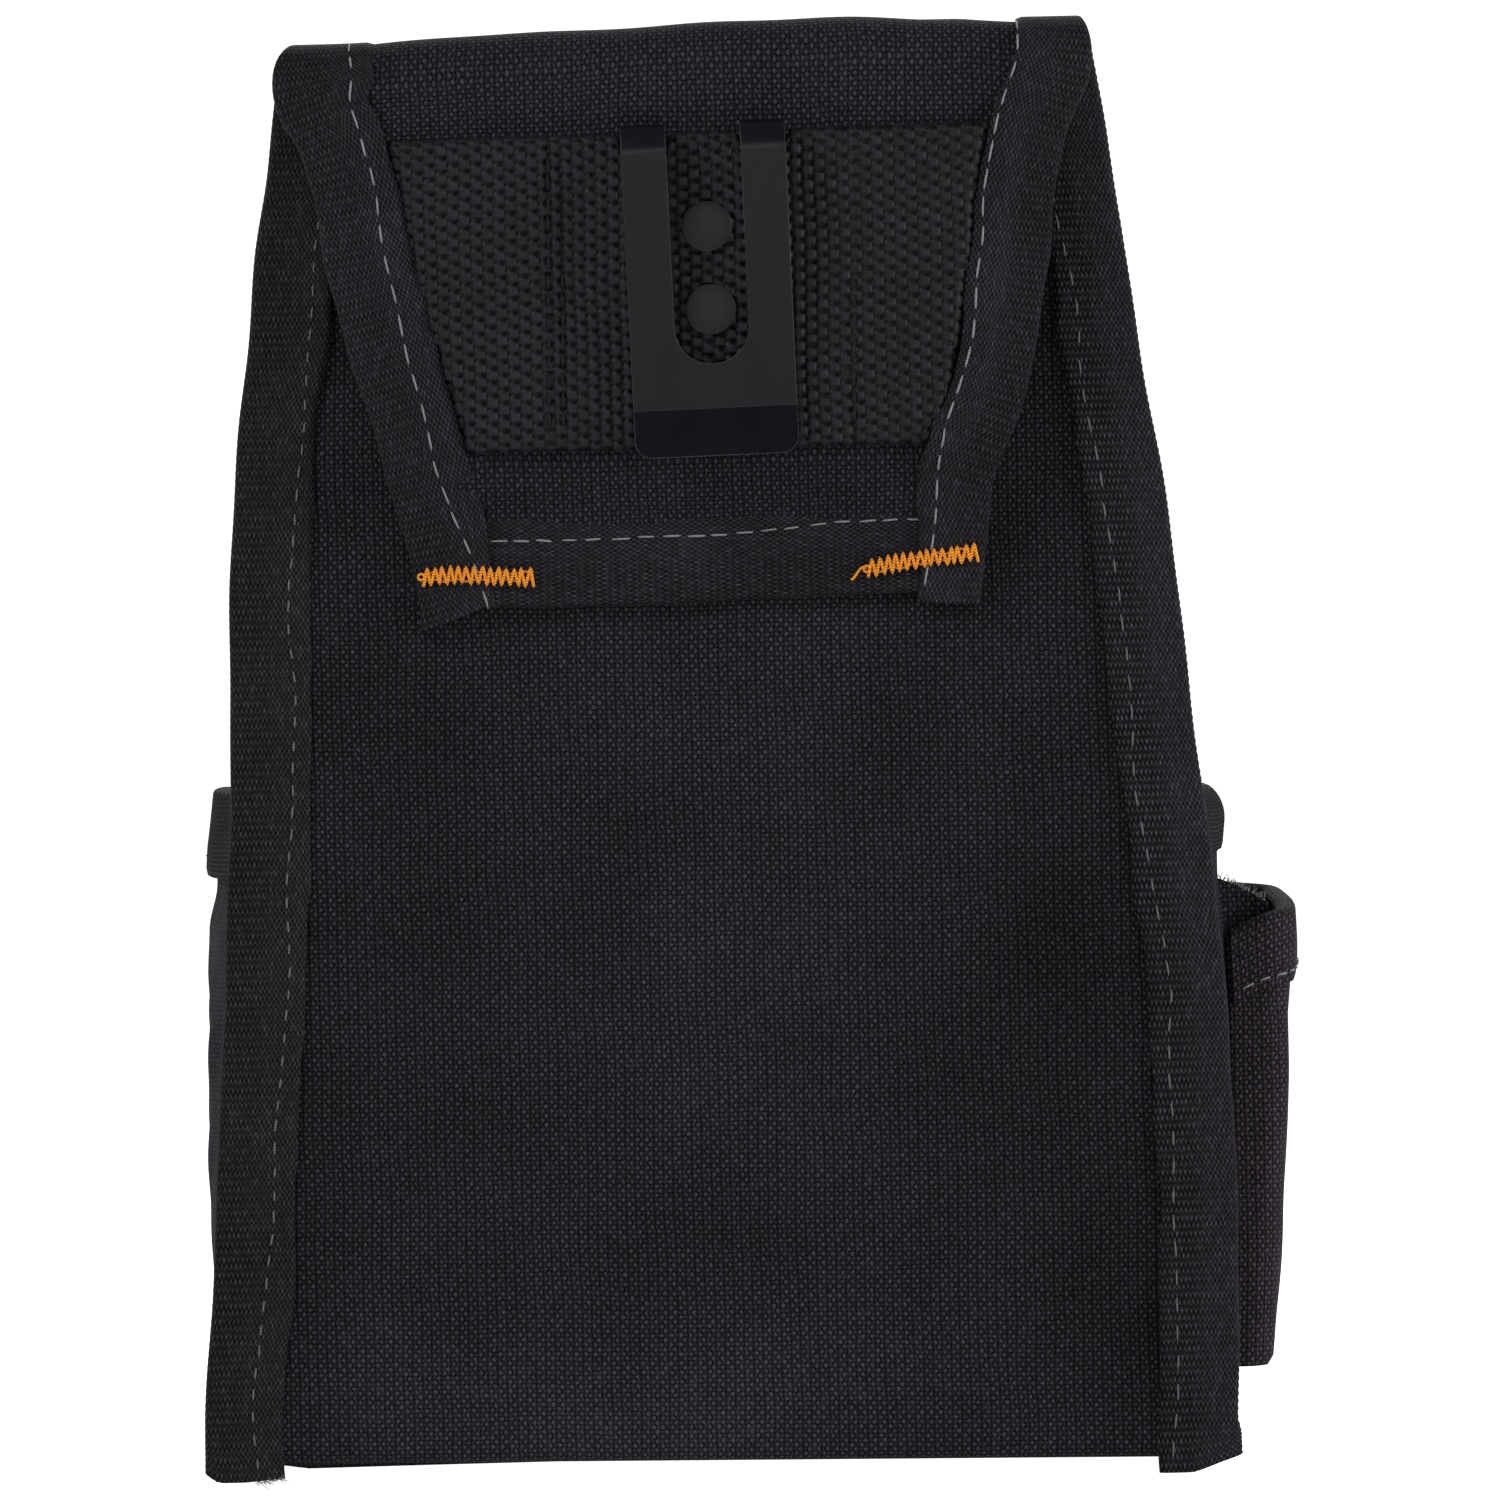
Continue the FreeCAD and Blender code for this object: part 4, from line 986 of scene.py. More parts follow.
def make_webbing():
    yz, out = flap_line(1200)
    keep = (yz[:, 1] < FLAP_FOLD_Z) & (np.arange(len(yz)) > np.argmax(yz[:, 1]))
    order = np.argsort(yz[keep][:, 1])
    flat, away = yz[keep][order], out[keep][order]

    def on_flap(values, z):
        return np.interp(z, flat[:, 1], values)

    def way_out(z):
        return np.stack([0 * z, on_flap(away[:, 0], z), on_flap(away[:, 1], z)], axis=-1)

    z_line = np.linspace(WEBBING_LOW, WEBBING_HIGH, int((WEBBING_HIGH - WEBBING_LOW) / WEBBING_STEP))
    left = (flap_edge(-1, z_line, False) + FLAP_TAPE_WIDTH[-1] - TAPE_LAP)[:, None]
    right = (flap_edge(1, z_line, False) - FLAP_TAPE_WIDTH[1] + TAPE_LAP)[:, None]
    x = left + (right - left) * np.linspace(0, 1, int((right - left).max() / WEBBING_STEP))[None, :]
    from_clip = np.abs(x - CLIP_CENTRE)
    legs = smoothstep(CLIP_HALF + 0.9, CLIP_HALF + 0.2, from_clip)
    legs = legs * smoothstep(SLOT_HALF - 0.9, SLOT_HALF - 0.2, from_clip)
    span = ((z_line - WEBBING_LOW) / (WEBBING_HIGH - WEBBING_LOW))[:, None]
    bottom = 0.15 * ripple(x[:1], 0 * x[:1], 30, 141)
    top = 0.014 * x[:1] + 0.15 * ripple(x[:1], 0 * x[:1], 30, 143) - 1.9 * legs[-1:]
    z = z_line[:, None] + bottom * (1 - span) + top * span ** 2
    bumps = webbing_height(x + 0.12 * ripple(x, z, 20, 145), z + 0.15 * ripple(x, z, 22, 147))
    edge = np.minimum(z_line - WEBBING_LOW, WEBBING_HIGH - z_line)[:, None]
    roll = 1.5 * (1 - np.sqrt(np.clip(1 - (1 - np.clip(edge / 1.6, 0, 1)) ** 2, 0, 1)))
    seams = sum(hill(0, 0.5, x - webbing_seam_x(at, z)) for at in WEBBING_SEAMS)
    reach = np.minimum(x - left, right - x)
    pressed = (WEBBING - PRESSED_WEBBING) * smoothstep(TAPE_LAP + 2.6, TAPE_LAP + 0.4, reach)
    relief = WEBBING_RELIEF * (1 - 0.5 * smoothstep(TAPE_LAP + 1, TAPE_LAP, reach))
    face_n = FLAP + WEBBING - 0.02 - relief * (1 - bumps) - roll - 0.35 * seams - pressed
    plate = smoothstep(CLIP_HALF + 1.4, CLIP_HALF + 0.4, from_clip) * smoothstep(PLATE_LOW - 1, PLATE_LOW, z)
    back_n = np.minimum(FLAP + 0.05 + 1.2 * plate, face_n - 0.25)
    base = np.stack([x, on_flap(flat[:, 0], z), z], axis=2)
    # The bump heights go to the material as painted shade in the gaps and at the sides.
    shell("webbing_weave", base + way_out(z) * face_n[..., None], base + way_out(z) * back_n[..., None], x, z,
          WEBBING_LOOK, "webbing", ["webbing_band"], relief=bumps)
    for index, at in enumerate(WEBBING_SEAMS):
        heights = np.linspace(WEBBING_LOW + 3, WEBBING_HIGH - 2, 120)
        heights = heights[:70] if index else heights
        path = np.stack([webbing_seam_x(at, heights), on_flap(flat[:, 0], heights), heights], axis=1)
        way = way_out(heights)
        stitches(f"webbing_stitches_{index + 1}", path + way * (FLAP + WEBBING - 0.45), way, 3.1, 2.3,
                 seed=23 + index, material=DARK_LOOK, rise=0.3)


def bar_tack(side):
    """Dense zigzag thread that holds one lower corner of the flap."""
    word = SIDE_WORD[side]
    rng = np.random.default_rng(151 + side)
    low, high = TACK_SPAN[side]
    level = TACK_LEVEL[side]
    face_y = PROFILE[-1, 0] - FLAP - TAPE
    points = []
    for k in range(2 * TACK_TEETH + 1):
        share = k / (2 * TACK_TEETH)
        x = low + (high - low) * share + rng.normal(0, 0.10)
        z = level[0] + (level[1] - level[0]) * share
        z += (1.45 if k % 2 else -1.45) * rng.uniform(0.85, 1.08)
        z += 0.25 * math.sin(share * 5)
        points.append((x, z))
    corners = np.array(points)
    lines = []
    for start, end in zip(corners[:-1], corners[1:]):
        for t in np.linspace(0, 1, 9)[:-1]:
            spot = start + (end - start) * t
            bulge = math.sin(math.pi * t)
            lines.append((spot[0], face_y - 0.85 - 0.38 * bulge, spot[1]))
    lines.append((corners[-1, 0], face_y - 0.7, corners[-1, 1]))
    zigzag = np.array(lines)
    rails = []
    for offset in (-0.55, 0.5):
        x = np.linspace(low + 0.4, high - 0.4, 60)
        z = level[0] + (level[1] - level[0]) * (x - low) / (high - low) + offset + 0.2 * np.sin(x * 1.7)
        rails.append(np.stack([x, face_y - 0.72 + 0 * x, z], axis=1))
    loose = loose_end(side, low, level[0], face_y)
    centres = [zigzag] + rails + [loose]
    shares = [1.0, 0.8, 0.8, 0.85]
    radii = [np.full(len(line), TACK_RADIUS * share) for line, share in zip(centres, shares)]
    tubes("bar_tack_thread_" + word, centres, radii, ORANGE_LOOK,
          replaces=["bar_tack_" + word])


def loose_end(side, low, level, face_y):
    """A short tail and knot at the tack's left end."""
    turn = np.linspace(0, 2.4 * math.pi, 26)
    knot = np.stack([low - 0.3 + 0.5 * np.cos(turn), face_y - 1.15 - 0.2 * np.sin(turn * 1.5),
                     level + 0.5 * np.sin(turn)], axis=1)
    if side < 0:
        return knot
    s = np.linspace(0, 1, 16)[1:]
    drop = 1.3 * s - 0.5 * np.sin(5 * s)
    tail = np.stack([low - 0.3 - 2.6 * s, face_y - 1.0 + 0.25 * s, level + 0.1 - drop], axis=1)
    return np.concatenate([knot, tail])


# ---------------------------------------------------------------- compartment

def arc_through(a, b, c, count):
    """Points on the circle through three points in the plane."""
    a, b, c = (complex(*p) for p in (a, b, c))
    w = (c - a) / (b - a)
    centre = (b - a) * (w - abs(w) ** 2) / (2j * w.imag) + a
    radius = abs(a - centre)
    start = np.angle(a - centre)
    middle = (np.angle(b - centre) - start) % (2 * math.pi)
    end = (np.angle(c - centre) - start) % (2 * math.pi)
    sweep = end if middle < end else end - 2 * math.pi
    turn = start + sweep * np.linspace(0, 1, count)
    return np.stack([centre.real + radius * np.cos(turn), centre.imag + radius * np.sin(turn)], axis=1)


def plan(z):
    """Right half of the compartment's plan at a height, from the back seam to the front's middle."""
    seam = float(half_width(z)) - TAPE
    gusset = GUSSET_HALF_WIDTH - 1.1 * float(smoothstep(45, 0, z))
    side_end = gusset - 1.0
    corner_y = FRONT_Y - CORNER_RADIUS
    side = arc_through((seam, BACK_INNER_Y), (gusset, (BACK_INNER_Y + corner_y) / 2), (side_end, corner_y), 50)
    turn = np.linspace(0, math.pi / 2, 24)[1:]
    corner = np.stack([side_end - CORNER_RADIUS * (1 - np.cos(turn)),
                       corner_y + CORNER_RADIUS * np.sin(turn)], axis=1)
    flat = side_end - CORNER_RADIUS
    x = np.linspace(flat, 0, 60)[1:]
    crown = np.stack([x, FRONT_Y + FRONT_CROWN * (1 - (x / flat) ** 2)], axis=1)
    return np.concatenate([side, corner, crown])


def plan_normals(points):
    along = tangents(points)
    return np.stack([along[:, 1], -along[:, 0]], axis=1)


def front_face(x, z):
    """The front wall's outer face: crowned across, and rounded under at its foot."""
    wall = FRONT_Y + FRONT_CROWN * (1 - (x / FRONT_FLAT_HALF) ** 2)
    rise = np.clip(1 - z / FRONT_FOOT_RADIUS, 0, 1)
    return wall - FRONT_FOOT_RADIUS * (1 - np.sqrt(1 - rise ** 2))


def wall_grid(start, end, columns, side, rows=76):
    """A grid on the compartment's outer face between two shares of the half plan."""
    grid = np.zeros((rows, columns, 3))
    outward = np.zeros((rows, columns, 3))
    for r, z in enumerate(RIM * np.linspace(0, 1, rows)):
        points = plan(z)
        run = lengths(points)
        at = np.linspace(run[-1] * start, run[-1] * end, columns)
        normal = plan_normals(points)
        xy = np.stack([np.interp(at, run, points[:, k]) for k in (0, 1)], axis=1)
        way = unit(np.stack([np.interp(at, run, normal[:, k]) for k in (0, 1)], axis=1))
        facing_front = np.clip(way[:, 1], 0, 1) ** 2
        round_foot = SIDE_FOOT_RADIUS + (FRONT_FOOT_RADIUS - SIDE_FOOT_RADIUS) * facing_front
        ground = base_height(side * xy[:, 0], xy[:, 1])
        level = ground + z * (RIM - ground) / RIM
        rise = np.clip(1 - (level - ground) / round_foot, 0, 1)
        tuck = round_foot * (1 - np.sqrt(np.maximum(1 - rise ** 2, 0)))
        xy = xy - way * tuck[:, None]
        grid[r, :, 0] = side * xy[:, 0] + sway(level) * smoothstep(8, -30, xy[:, 1])
        grid[r, :, 1] = xy[:, 1]
        grid[r, :, 2] = level
        outward[r, :, 0] = side * way[:, 0]
        outward[r, :, 1] = way[:, 1]
    return grid, outward


def lean_rim(piece):
    """The gussets' rims as soft cloth hangs: the right one rolls inwards and down over a tucked waist,
    and the left one stands in a little over a fuller wall."""
    points = read_points(piece)
    x, y, z = points.T
    middle = smoothstep(BACK_INNER_Y - 4, BACK_INNER_Y + 8, y) * smoothstep(FRONT_Y, FRONT_Y - 16, y)
    top = np.clip((z - RIM_LEAN_FROM) / (RIM + TAPE - RIM_LEAN_FROM), 0, 1)
    waist = smoothstep(88, 97, z) * smoothstep(108, 100, z)
    right = middle * (x > 0)
    left = middle * (x < 0)
    points[:, 0] += left * (LEFT_STAND * smoothstep(90, 99, z) + LEFT_NOD * top)
    points[:, 0] -= left * LEFT_SWELL * smoothstep(6, 36, z)
    points[:, 0] -= right * (RIGHT_LEAN * top ** 2 + RIGHT_WAIST * waist)
    points[:, 2] -= right * RIGHT_DROP * top ** 2
    write_points(piece, points)


def gusset_share(z):
    """Share of the half plan, by length, at which the front seam stands."""
    points = plan(z)
    run = lengths(points)
    past = points[:, 1] > 10
    return float(np.interp(-SEAM_X, -points[past, 0], run[past]) / run[-1])


def wrinkled(grid, outward, amount, size, seed, pinch):
    """Pushes a wall in and out a little; pinch is 0 where it is sewn down."""
    a = grid_run(grid)
    waves = ripple(a, grid[..., 2], size, seed) + 0.35 * ripple(a, grid[..., 2], size / 3, seed + 1)
    return grid + outward * (amount * waves * pinch)[..., None], a


def above_base(inner):
    """Keeps a wall's inner face clear of the base cloth."""
    inner[..., 2] = np.maximum(inner[..., 2], base_height(inner[..., 0], inner[..., 1]) + 0.4)
    return inner


def make_gusset(side, share):
    grid, outward = wall_grid(0.0, share, 74, side)
    z = grid[..., 2]
    columns = np.linspace(0, 1, grid.shape[1])[None, :]
    sewn = smoothstep(0, 0.16, columns) * smoothstep(1, 0.86, columns)
    pinch = sewn * smoothstep(6, 22, z) * smoothstep(RIM - 3, RIM - 20, z)
    if side > 0:
        pinch = pinch * 0.25
    outer, a = wrinkled(grid, outward, -0.7, 34, 171 + side, pinch)
    outer = outer - outward * (0.5 * pinch)[..., None]
    inner = above_base(outer - outward * WALL)
    faces = (inner, outer) if side < 0 else (outer, inner)
    word = SIDE_WORD[side]
    gusset = shell("gusset_" + word, *faces, a, z, FABRIC_LOOK, "pouch_fabric", [word + "_gusset"])
    lean_rim(gusset)


def make_front(share):
    grid_right, out_right = wall_grid(share, 1.0, 56, 1)
    grid_left, out_left = wall_grid(share, 1.0, 56, -1)
    grid = np.concatenate([grid_right, grid_left[:, ::-1][:, 1:]], axis=1)
    outward = np.concatenate([out_right, out_left[:, ::-1][:, 1:]], axis=1)
    z = grid[..., 2]
    columns = np.linspace(0, 1, grid.shape[1])[None, :]
    sewn = smoothstep(0, 0.1, columns) * smoothstep(1, 0.9, columns)
    pinch = sewn * smoothstep(88, 94, z) * smoothstep(RIM, RIM - 8, z)
    outer, a = wrinkled(grid, outward, 0.25, 40, 181, pinch)
    inner = above_base(outer - outward * WALL)
    front = shell("front_wall", inner, outer, a, z, FABRIC_LOOK, "pouch_fabric", ["front_panel"])


def make_walls():
    share = gusset_share(60)
    make_gusset(-1, share)
    make_gusset(1, share)
    make_front(share)
    make_base()


def make_base():
    """The base cloth, tucked inside the feet of the walls."""
    outline = plan(0.0)
    deep = np.linspace(BACK_OUTER_Y + 1.6, FRONT_Y + FRONT_CROWN - FRONT_FOOT_RADIUS * 0.55, 40)
    wide = np.interp(deep, outline[:, 1], outline[:, 0]) - SIDE_FOOT_RADIUS * 0.4
    wide = wide - 9 * smoothstep(2, FRONT_Y, deep) ** 2
    share = np.linspace(-1, 1, 90)
    x = wide[:, None] * share[None, :]
    y = np.broadcast_to(deep[:, None], x.shape)
    z = base_height(x, y) + 0.12 + 0.5 * smoothstep(BACK_OUTER_Y + 6, BACK_OUTER_Y + 1.6, y)
    outer = np.stack([x, y, z], axis=2)
    inner = outer + np.array([0, 0, 1.3])
    base = shell("base_cloth", inner, outer, x, y, FABRIC_LOOK, "pouch_fabric", ["bottom_panel"])


def make_rim():
    half = plan(RIM)
    points = np.concatenate([half, half[::-1][1:] * (-1, 1)])
    points = resample(points, rows_for(float(lengths(points)[-1])))
    normal = plan_normals(points)
    x, y = points.T
    dip = 0.5 * ripple(x, y, 40, 191) - 1.2 * hill(0, 40, x) * (y > 0)
    level = RIM + dip - 0.2
    path = np.stack([x + sway(RIM) * smoothstep(8, -30, y), y, level], axis=1)
    out = np.stack([normal[:, 0], normal[:, 1], 0 * level], axis=1)
    across = facing(path, 2, -1)
    run = lengths(path)
    widths = RIM_TAPE_WIDTH + 0.4 * ripple(run, 0 * run, 24, 193)
    lift = 0.2 + 0.3 * np.abs(ripple(run, 0 * run, 11, 195))
    lift = lift * smoothstep(0, 8, run) * smoothstep(run[-1], run[-1] - 8, run)
    keep = slice(4, -4)
    lean_rim(channel("main_rim_tape", path[keep], across[keep], out[keep], widths[keep], WALL, PLAIN_TAPE_LOOK,
                     ["main_rim_binding"], lift=lift[keep]))
    seam = 10.2 + 0.3 * ripple(run, 0 * run, 30, 197)
    line = offset(path, across, out, seam, TAPE + lift * (seam / widths) ** 4)
    ahead = y > -8
    lean_rim(stitches("main_rim_stitches", line[ahead][::3], out[ahead][::3], 4.4, 3.1, seed=29))


def make_front_seams():
    for side in (-1, 1):
        word = SIDE_WORD[side]
        low, high = 9.5, RIM - RIM_TAPE_WIDTH - 0.6
        z = np.linspace(low, high, rows_for(high - low))
        wave = 0.4 * ripple(z, 0 * z, 22, 201 + side)
        path = np.stack([side * (SEAM_X + 1.0) + wave, front_face(SEAM_X, z) + SEAM_RIB_DEPTH, z], axis=1)
        across = facing(path, 1, -1)
        out = facing(path, 0, side)
        channel("front_seam_tape_" + word, path, across, out, SEAM_RIB_DEPTH + 0.3, 1.2, TAPE_LOOK,
                ["front_binding_" + word])
        line = path + across * 4.6 + out * TAPE
        stitches("front_seam_stitches_" + word, line[::3], out[::3], 4.2, 2.9, seed=31 + side)


# ---------------------------------------------------------------- front pocket

def bay_surface(u, z):
    """Outer face of the three gathered bays: u runs 0 to 3 across them."""
    index = np.clip(np.floor(u).astype(int), 0, 2)
    left = np.array(BAY_EDGES)[index]
    right = np.array(BAY_EDGES)[index + 1]
    low = np.array(BAY_DEPTHS_LOW)[index]
    high = np.array(BAY_DEPTHS_HIGH)[index]
    share = (z - BAY_LOW) / (BAY_HIGH - BAY_LOW)
    deep = low + (high - low) * share ** 0.9
    angle = math.pi * (u - index)
    overhang = 1.6 * share * np.sin(2 * angle)
    x = left + (right - left) * (0.5 - 0.5 * np.cos(angle)) - overhang
    body = np.sin(angle) ** 0.62
    gathers = 0.55 * (1 - share) * np.sin(4 * angle + 0.6 * index) * body
    sag = 0.5 * ripple(x, z, 30, 211) * body + gathers
    y = front_face(x, z) + FRONT_PLY + 0.25 + (deep - FRONT_PLY) * body + sag
    return np.stack([x, y, z], axis=-1)


def make_front_pocket():
    rows = np.linspace(BAY_LOW, BAY_HIGH, 70)
    columns = np.linspace(0.004, 2.996, 211)
    z, u = np.meshgrid(rows, columns, indexing="ij")
    outer = bay_surface(u, z)
    way = normals(outer)
    way = way * np.sign(np.mean(way[..., 1]))
    inner = outer - way * FRONT_PLY
    inner[..., 1] = np.maximum(inner[..., 1], front_face(inner[..., 0], z) + 0.1)
    outer[..., 1] = np.maximum(outer[..., 1], inner[..., 1] + 0.7)
    a = grid_run(outer)
    pocket = shell("front_pocket_cloth", outer, inner, a, z, FABRIC_LOOK, "pouch_fabric", ["front_pocket"])
    tape = front_pocket_rim()


def front_pocket_rim():
    u = np.linspace(0.012, 2.988, 900)
    ring = bay_surface(u, np.full(len(u), BAY_HIGH))
    ring = resample(ring, rows_for(float(lengths(ring)[-1])))
    along = tangents(ring)
    out = unit(np.stack([-along[:, 1], along[:, 0], 0 * along[:, 0]], axis=1))
    out = out * np.sign(np.mean(out[:, 1]))
    run = lengths(ring)
    widths = RIM_TAPE_WIDTH + 0.3 * ripple(run, 0 * run, 20, 221)
    down = bay_surface(np.linspace(0.012, 2.988, len(run)), np.full(len(run), BAY_HIGH - 12))
    lean = unit(down - ring)
    lean[:, 0] = 0
    lean = unit(lean)
    tape = channel("front_pocket_rim_tape", ring, lean, out, widths, FRONT_PLY, TAPE_LOOK,
                   ["front_pocket_rim_binding"])
    line = ring + lean * 10.2 + out * TAPE
    stitches("front_pocket_rim_stitches", line[12:-12:3], out[12:-12:3], 4.4, 3.1, seed=37)
    for index, x in enumerate(BAY_EDGES):
        z = np.linspace(14, BAY_HIGH - 1, 60)
        line = np.stack([x + 1.2 * np.sign(x) + 0 * z, front_face(x, z) + FRONT_PLY + 0.6, z], axis=1)
        way = facing(line, 1, 1)
        stitches(f"front_pocket_seam_{index + 1}", line, way, 4.2, 2.9, seed=41 + index)
    return tape


# ---------------------------------------------------------------- side pocket

def pocket_line(z, inset=0.0, count=110):
    """The side pocket's plan at a height, from its back foot on the gusset round to its front foot."""
    out = float(spline(POCKET_OUT[0], POCKET_OUT[1], z)) - inset
    back, front = POCKET_BACK_Y + inset, POCKET_FRONT_Y - inset
    radius = POCKET_CORNER - inset
    start_x, end_x = gusset_x(back, z) + 0.15, gusset_x(front, z) + 0.15
    turn = np.linspace(0, math.pi / 2, 12)
    near = np.stack([out - radius + radius * np.sin(turn), back + radius * (1 - np.cos(turn))], axis=1)
    far = np.stack([out - radius + radius * np.cos(turn), front - radius * (1 - np.sin(turn))], axis=1)
    belly = np.linspace(0, 1, 20)[1:-1]
    straight = front - back - 2 * radius
    side = np.stack([out + 0.9 * np.sin(math.pi * belly), back + radius + straight * belly], axis=1)
    points = np.concatenate([[(start_x, back)], near, side, far, [(end_x, front)]])
    return resample(points, count)


def gusset_x(y, z):
    """The gusset's outer face at a depth."""
    points = plan(z)
    side = points[points[:, 1] < FRONT_Y - 4]
    return float(np.interp(y, side[:, 1], side[:, 0])) + float(sway(z) * smoothstep(8, -30, y))


def mouth_height(s):
    """The mouth's height along the pocket's plan, 0 at the back seam and 1 at the front one."""
    return spline([0, 0.12, 0.3, 0.6, 1.0], [85.7, 88.4, 90.2, 91.6, 93.6], s)


def pocket_grid(inset, rows=58, columns=110):
    shares = np.linspace(0, 1, columns)
    grid = np.zeros((rows, columns, 3))
    top = mouth_height(shares)
    levels = np.linspace(0, 1, rows)
    fine = np.linspace(POCKET_FOOT, 100, 60)
    plans = np.stack([pocket_line(z, inset, columns) for z in fine])
    for c in range(columns):
        z = POCKET_FOOT + (top[c] - POCKET_FOOT) * levels
        grid[:, c, 0] = np.interp(z, fine, plans[:, c, 0])
        grid[:, c, 1] = np.interp(z, fine, plans[:, c, 1])
        grid[:, c, 2] = z
    return grid, shares


def make_side_pocket():
    outer, shares = pocket_grid(0.0)
    inner, _ = pocket_grid(POCKET_PLY)
    z = outer[..., 2]
    foot = np.clip(1 - (z - POCKET_FOOT) / 1.4, 0, 1)
    sewn = smoothstep(0, 0.12, shares) * smoothstep(1, 0.88, shares)
    soft = 0.2 * ripple(outer[..., 1], z, 26, 231) * smoothstep(POCKET_FOOT, POCKET_FOOT + 14, z)
    bulge = sewn[None, :] * (soft - 0.7 * foot ** 2)
    outer[..., 0] += bulge
    inner[..., 0] += bulge
    a = grid_run(outer)
    wall = shell("side_pocket_cloth", outer, inner, a, z, LIT_POCKET_LOOK, "pouch_fabric", ["side_pocket_wall"])
    hem = side_pocket_hem(outer, inner)
    side_pocket_base()
    side_pocket_facing()


def side_pocket_hem(outer, inner):
    """The wall's cloth rolled over its mouth and stitched down outside."""
    columns = outer.shape[1]
    along = tangents(outer[-1])
    out = unit(np.stack([along[:, 1], -along[:, 0], 0 * along[:, 0]], axis=1))
    out = out * np.sign(np.mean(out[:, 0]))
    down = np.array([0, 0, -1.0])
    middle = (outer[-1] + inner[-1]) / 2
    reach = POCKET_PLY / 2 + HEM_PLY + 0.25
    rows = []
    for angle in np.linspace(math.pi * 0.95, 0, 12):
        rows.append(middle + out * (reach * math.cos(angle)) - down * (reach * math.sin(angle) * 0.9))
    fine = np.linspace(0, 1, outer.shape[0])
    for level in np.linspace(0, 1, 30)[1:]:
        drop = HEM_WIDTH * level
        share = 1 - drop / (outer[-1, :, 2] - outer[0, :, 2])
        point = np.array([[np.interp(share[c], fine, outer[:, c, k]) for k in range(3)]
                          for c in range(columns)])
        rows.append(point + out * (HEM_PLY + 0.25 - 0.2 * level ** 6))
    outer_hem = np.stack(rows)
    way = normals(outer_hem)
    way = way * np.sign(np.mean((way * out[None]).sum(axis=2)))
    inner_hem = outer_hem - way * HEM_PLY
    a = grid_run(outer_hem)
    v = grid_run(outer_hem, axis=0)
    inside = (slice(None), slice(1, -1))
    hem = shell("side_pocket_rolled_hem", outer_hem[inside], inner_hem[inside], a[inside], -v[inside],
                LIT_POCKET_LOOK, "pouch_fabric", ["side_pocket_hem"])
    line = outer_hem[-6, 2:-2] + out[2:-2] * 0.05
    stitches("side_pocket_hem_stitches", line, out[2:-2], 3.1, 2.1, seed=43)
    return hem


def side_pocket_base():
    plan_line = pocket_line(POCKET_FOOT + 1.0, 0.9, 80)
    rings = np.linspace(0, 1, 12)
    start = np.array([(gusset_x(y, POCKET_FOOT) + 0.2, y) for y in plan_line[:, 1]])
    grid = start[None] + (plan_line - start)[None] * rings[:, None, None]
    z = POCKET_FOOT + 0.3 + 0.5 * (1 - rings[:, None]) + 0 * grid[..., 0]
    outer = np.stack([grid[..., 0], grid[..., 1], z], axis=2)
    inner = outer + np.array([0, 0, 1.2])
    base = shell("side_pocket_floor", inner, outer, grid[..., 0], grid[..., 1], LIT_POCKET_LOOK, "pouch_fabric",
                 ["side_pocket_base"])


def side_pocket_facing():
    """A loose ply that shows in the pocket's mouth, its top edge cut raw."""
    rows = np.linspace(60, FACING_TOP, 40)
    columns = np.linspace(0, 1, 16)
    z, share = np.meshgrid(rows, columns, indexing="ij")
    start = np.array([gusset_x(-18, h) for h in rows])[:, None] - 1.7
    x = start + (91.6 - start) * share
    z = z - 4.2 * share ** 1.3 * smoothstep(60, FACING_TOP, z)
    y = -18.2 + 1.6 * np.sin(share * 2.6) + 0.5 * ripple(x, z, 14, 241)
    outer = np.stack([x, y, z], axis=2)
    inner = outer + np.array([0, FABRIC, 0])
    raw_edge = outer[-1, 1:-1].tolist() + outer[-1, 2:-2].tolist()
    fray("side_pocket_facing_fray", raw_edge, (0.1, -0.15, 0.9), 3, 0.8, 257)
    ply = shell("side_pocket_inner_ply", outer, inner, x, z, FABRIC_LOOK, "pouch_fabric",
                ["side_pocket_facing"])


# ---------------------------------------------------------------- frayed ends

def fray(name, base_points, direction, count_each, length, seed):
    """Loose yarn ends at a cut edge."""
    rng = np.random.default_rng(seed)
    lines, radii = [], []
    for point in base_points:
        for _ in range(count_each):
            start = np.array(point) + rng.normal(0, 0.12, 3)
            way = unit(np.array(direction) + rng.normal(0, 0.35, 3))
            long = length * rng.uniform(0.4, 1.2)
            t = np.linspace(0, 1, 5)[:, None]
            curl = rng.normal(0, 0.25, 3) * long
            lines.append(start + way * long * t + curl * t ** 2)
            radii.append(np.full(5, 0.07) * np.linspace(1, 0.5, 5))
    for line in lines:
        line[:, 2] = np.maximum(line[:, 2], 0.12)
    return tubes(name, lines, radii, FRAY_LOOK, sides=4)


def make_frays():
    """The cut ends of the back's two tapes."""
    inner = edge_point(-1, 0.0, BACK_TAPE_WIDTH)
    spots = [(inner - 3.5 + 0.35 * k, BACK_OUTER_Y - 1.0, 1.9 + 0.06 * k) for k in range(12)]
    fray("back_tail_fray_left", spots, (0.8, -0.3, -0.3), 3, 1.5, 251)
    inner = edge_point(1, 0.0, BACK_TAPE_WIDTH)
    spots = [(inner + 0.5 * k, BACK_OUTER_Y - 1.0, 0.4) for k in range(10)]
    fray("back_tail_fray_right", spots, (-0.2, -0.1, -0.5), 1, 0.5, 253)


# ---------------------------------------------------------------- kept CAD nodes

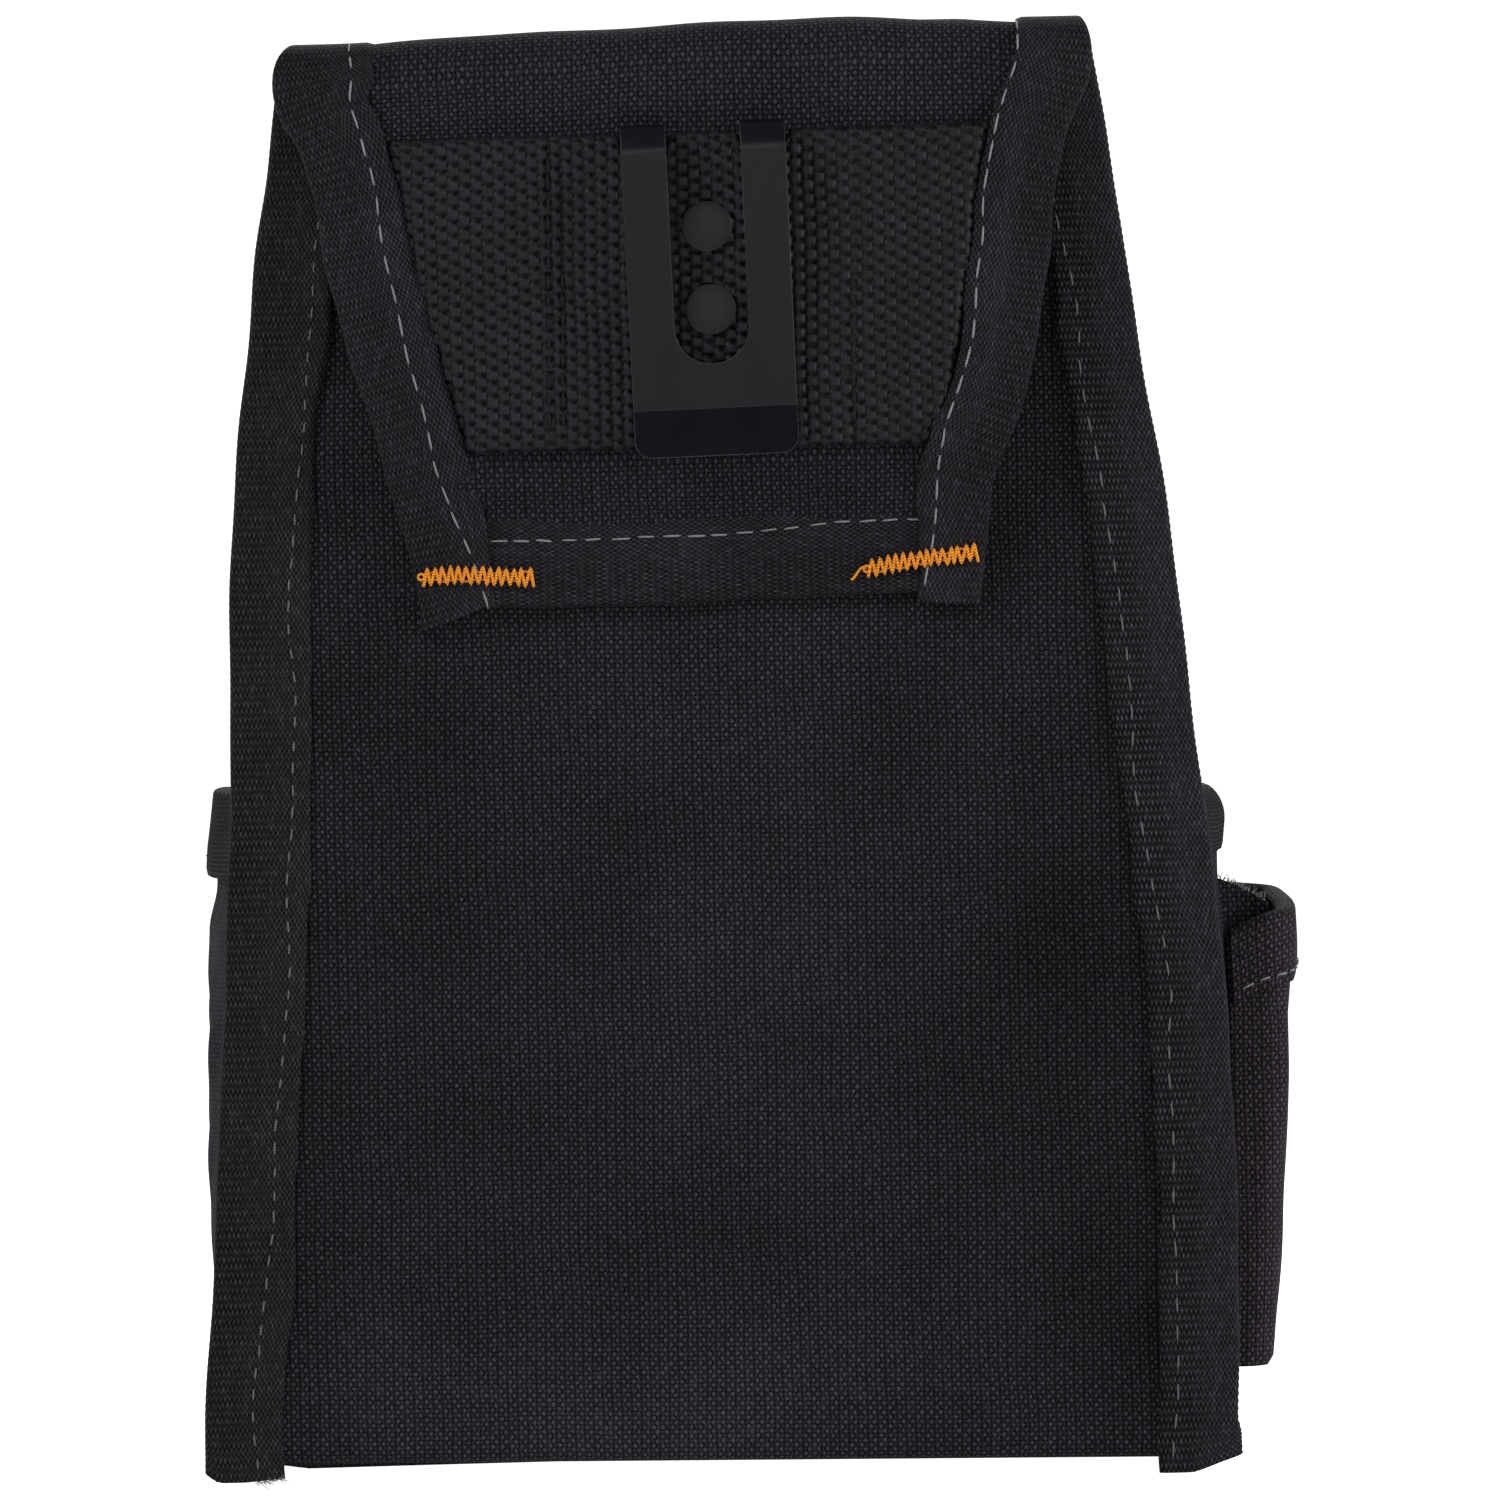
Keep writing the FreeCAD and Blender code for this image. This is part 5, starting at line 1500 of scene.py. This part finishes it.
KEPT_NODES = {"clip_tongue": STEEL_LOOK, "clip_back_plate": STEEL_LOOK, "clip_rivets": RIVET_LOOK,
              "rivet_washers": RIVET_LOOK, "back_stiffener": BOARD_LOOK}


def finish_kept_nodes():
    for node, look in KEPT_NODES.items():
        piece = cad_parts[node]
        piece.data.materials.clear()
        piece.data.materials.append(look)


# ---------------------------------------------------------------- stage

def add_area(name, at, aim, size, power, colour):
    data = bpy.data.lights.new(name, "AREA")
    data.shape = "RECTANGLE"
    data.size, data.size_y = size
    data.energy = power
    data.color = colour
    light = bpy.data.objects.new(name, data)
    light.location = at
    light.rotation_euler = (Vector(aim) - Vector(at)).to_track_quat("-Z", "Y").to_euler()
    bpy.context.scene.collection.objects.link(light)


def glow(tree, seen, sent):
    """A strength for what is seen directly, on top of the strength of the light sent to everything."""
    path = tree.nodes.new("ShaderNodeLightPath")
    total = tree.nodes.new("ShaderNodeMath")
    total.operation = "MULTIPLY_ADD"
    total.inputs[1].default_value = seen
    total.inputs[2].default_value = sent
    tree.links.new(path.outputs["Is Camera Ray"], total.inputs[0])
    return total.outputs[0]


def make_floor():
    mesh = bpy.data.meshes.new("floor")
    far = 1.6
    mesh.from_pydata([(-far, -far, 0), (far, -far, 0), (far, far, 0), (-far, far, 0)], [], [(0, 1, 2, 3)])
    floor = bpy.data.objects.new("floor", mesh)
    look = Nodes("pale_floor")
    colour = look.ramp(look.noise(40.0, 2.0, 23), [(0.0, (0.70, 0.70, 0.70)), (1.0, (0.74, 0.74, 0.74))])
    look.shader.inputs["Emission Color"].default_value = (1, 1, 1, 1)
    look.link(glow(look.tree, FLOOR_GLOW, FLOOR_BOUNCE), look.shader.inputs["Emission Strength"])
    mesh.materials.append(look.finish(colour, None, 0.9, 0.0))
    bpy.context.scene.collection.objects.link(floor)


def make_world():
    world = bpy.data.worlds.new("white_room")
    world.use_nodes = True
    tree = world.node_tree
    background = tree.nodes["Background"]
    background.inputs["Color"].default_value = (1, 1, 1, 1)
    tree.links.new(glow(tree, 1.0, ROOM_LIGHT), background.inputs["Strength"])
    bpy.context.scene.world = world


def make_stage():
    make_floor()
    make_world()
    add_area("key", (-0.8, -0.75, 0.9), (0.0, 0.0, 0.12), (0.5, 0.5), 7.8, (1.0, 0.99, 0.98))
    add_area("front", (0.05, -1.7, 0.25), (0.0, 0.0, 0.12), (0.7, 0.5), 3.8, (1.0, 1.0, 1.0))
    add_area("left", (-1.0, 0.15, 0.35), (0.0, 0.0, 0.10), (0.5, 0.8), 2.0, (1.0, 0.95, 0.91))
    add_area("right", (1.0, -0.35, 0.30), (0.0, 0.0, 0.08), (0.5, 0.8), 8.5, (1.0, 0.95, 0.97))
    add_area("back", (0.0, 0.9, 0.7), (0.0, 0.0, 0.12), (1.2, 0.8), 7.0, (1.0, 0.98, 0.96))
    bpy.context.scene.view_settings.view_transform = "Standard"


def make_camera():
    data = bpy.data.cameras.new("camera")
    data.lens = 177.8
    data.sensor_width = 36.0
    data.clip_start = 0.05
    camera = bpy.data.objects.new("camera", data)
    camera.location = (0.0071, -1.234, 0.1186)
    camera.rotation_euler = (math.radians(90), math.radians(1.3), 0)
    bpy.context.scene.collection.objects.link(camera)
    bpy.context.scene.camera = camera


make_camera()
make_stage()
make_back()
back_tape(-1)
back_tape(1)
make_flap()
make_webbing()
bar_tack(-1)
bar_tack(1)
make_walls()
make_rim()
make_front_seams()
make_front_pocket()
make_side_pocket()
make_frays()
finish_kept_nodes()
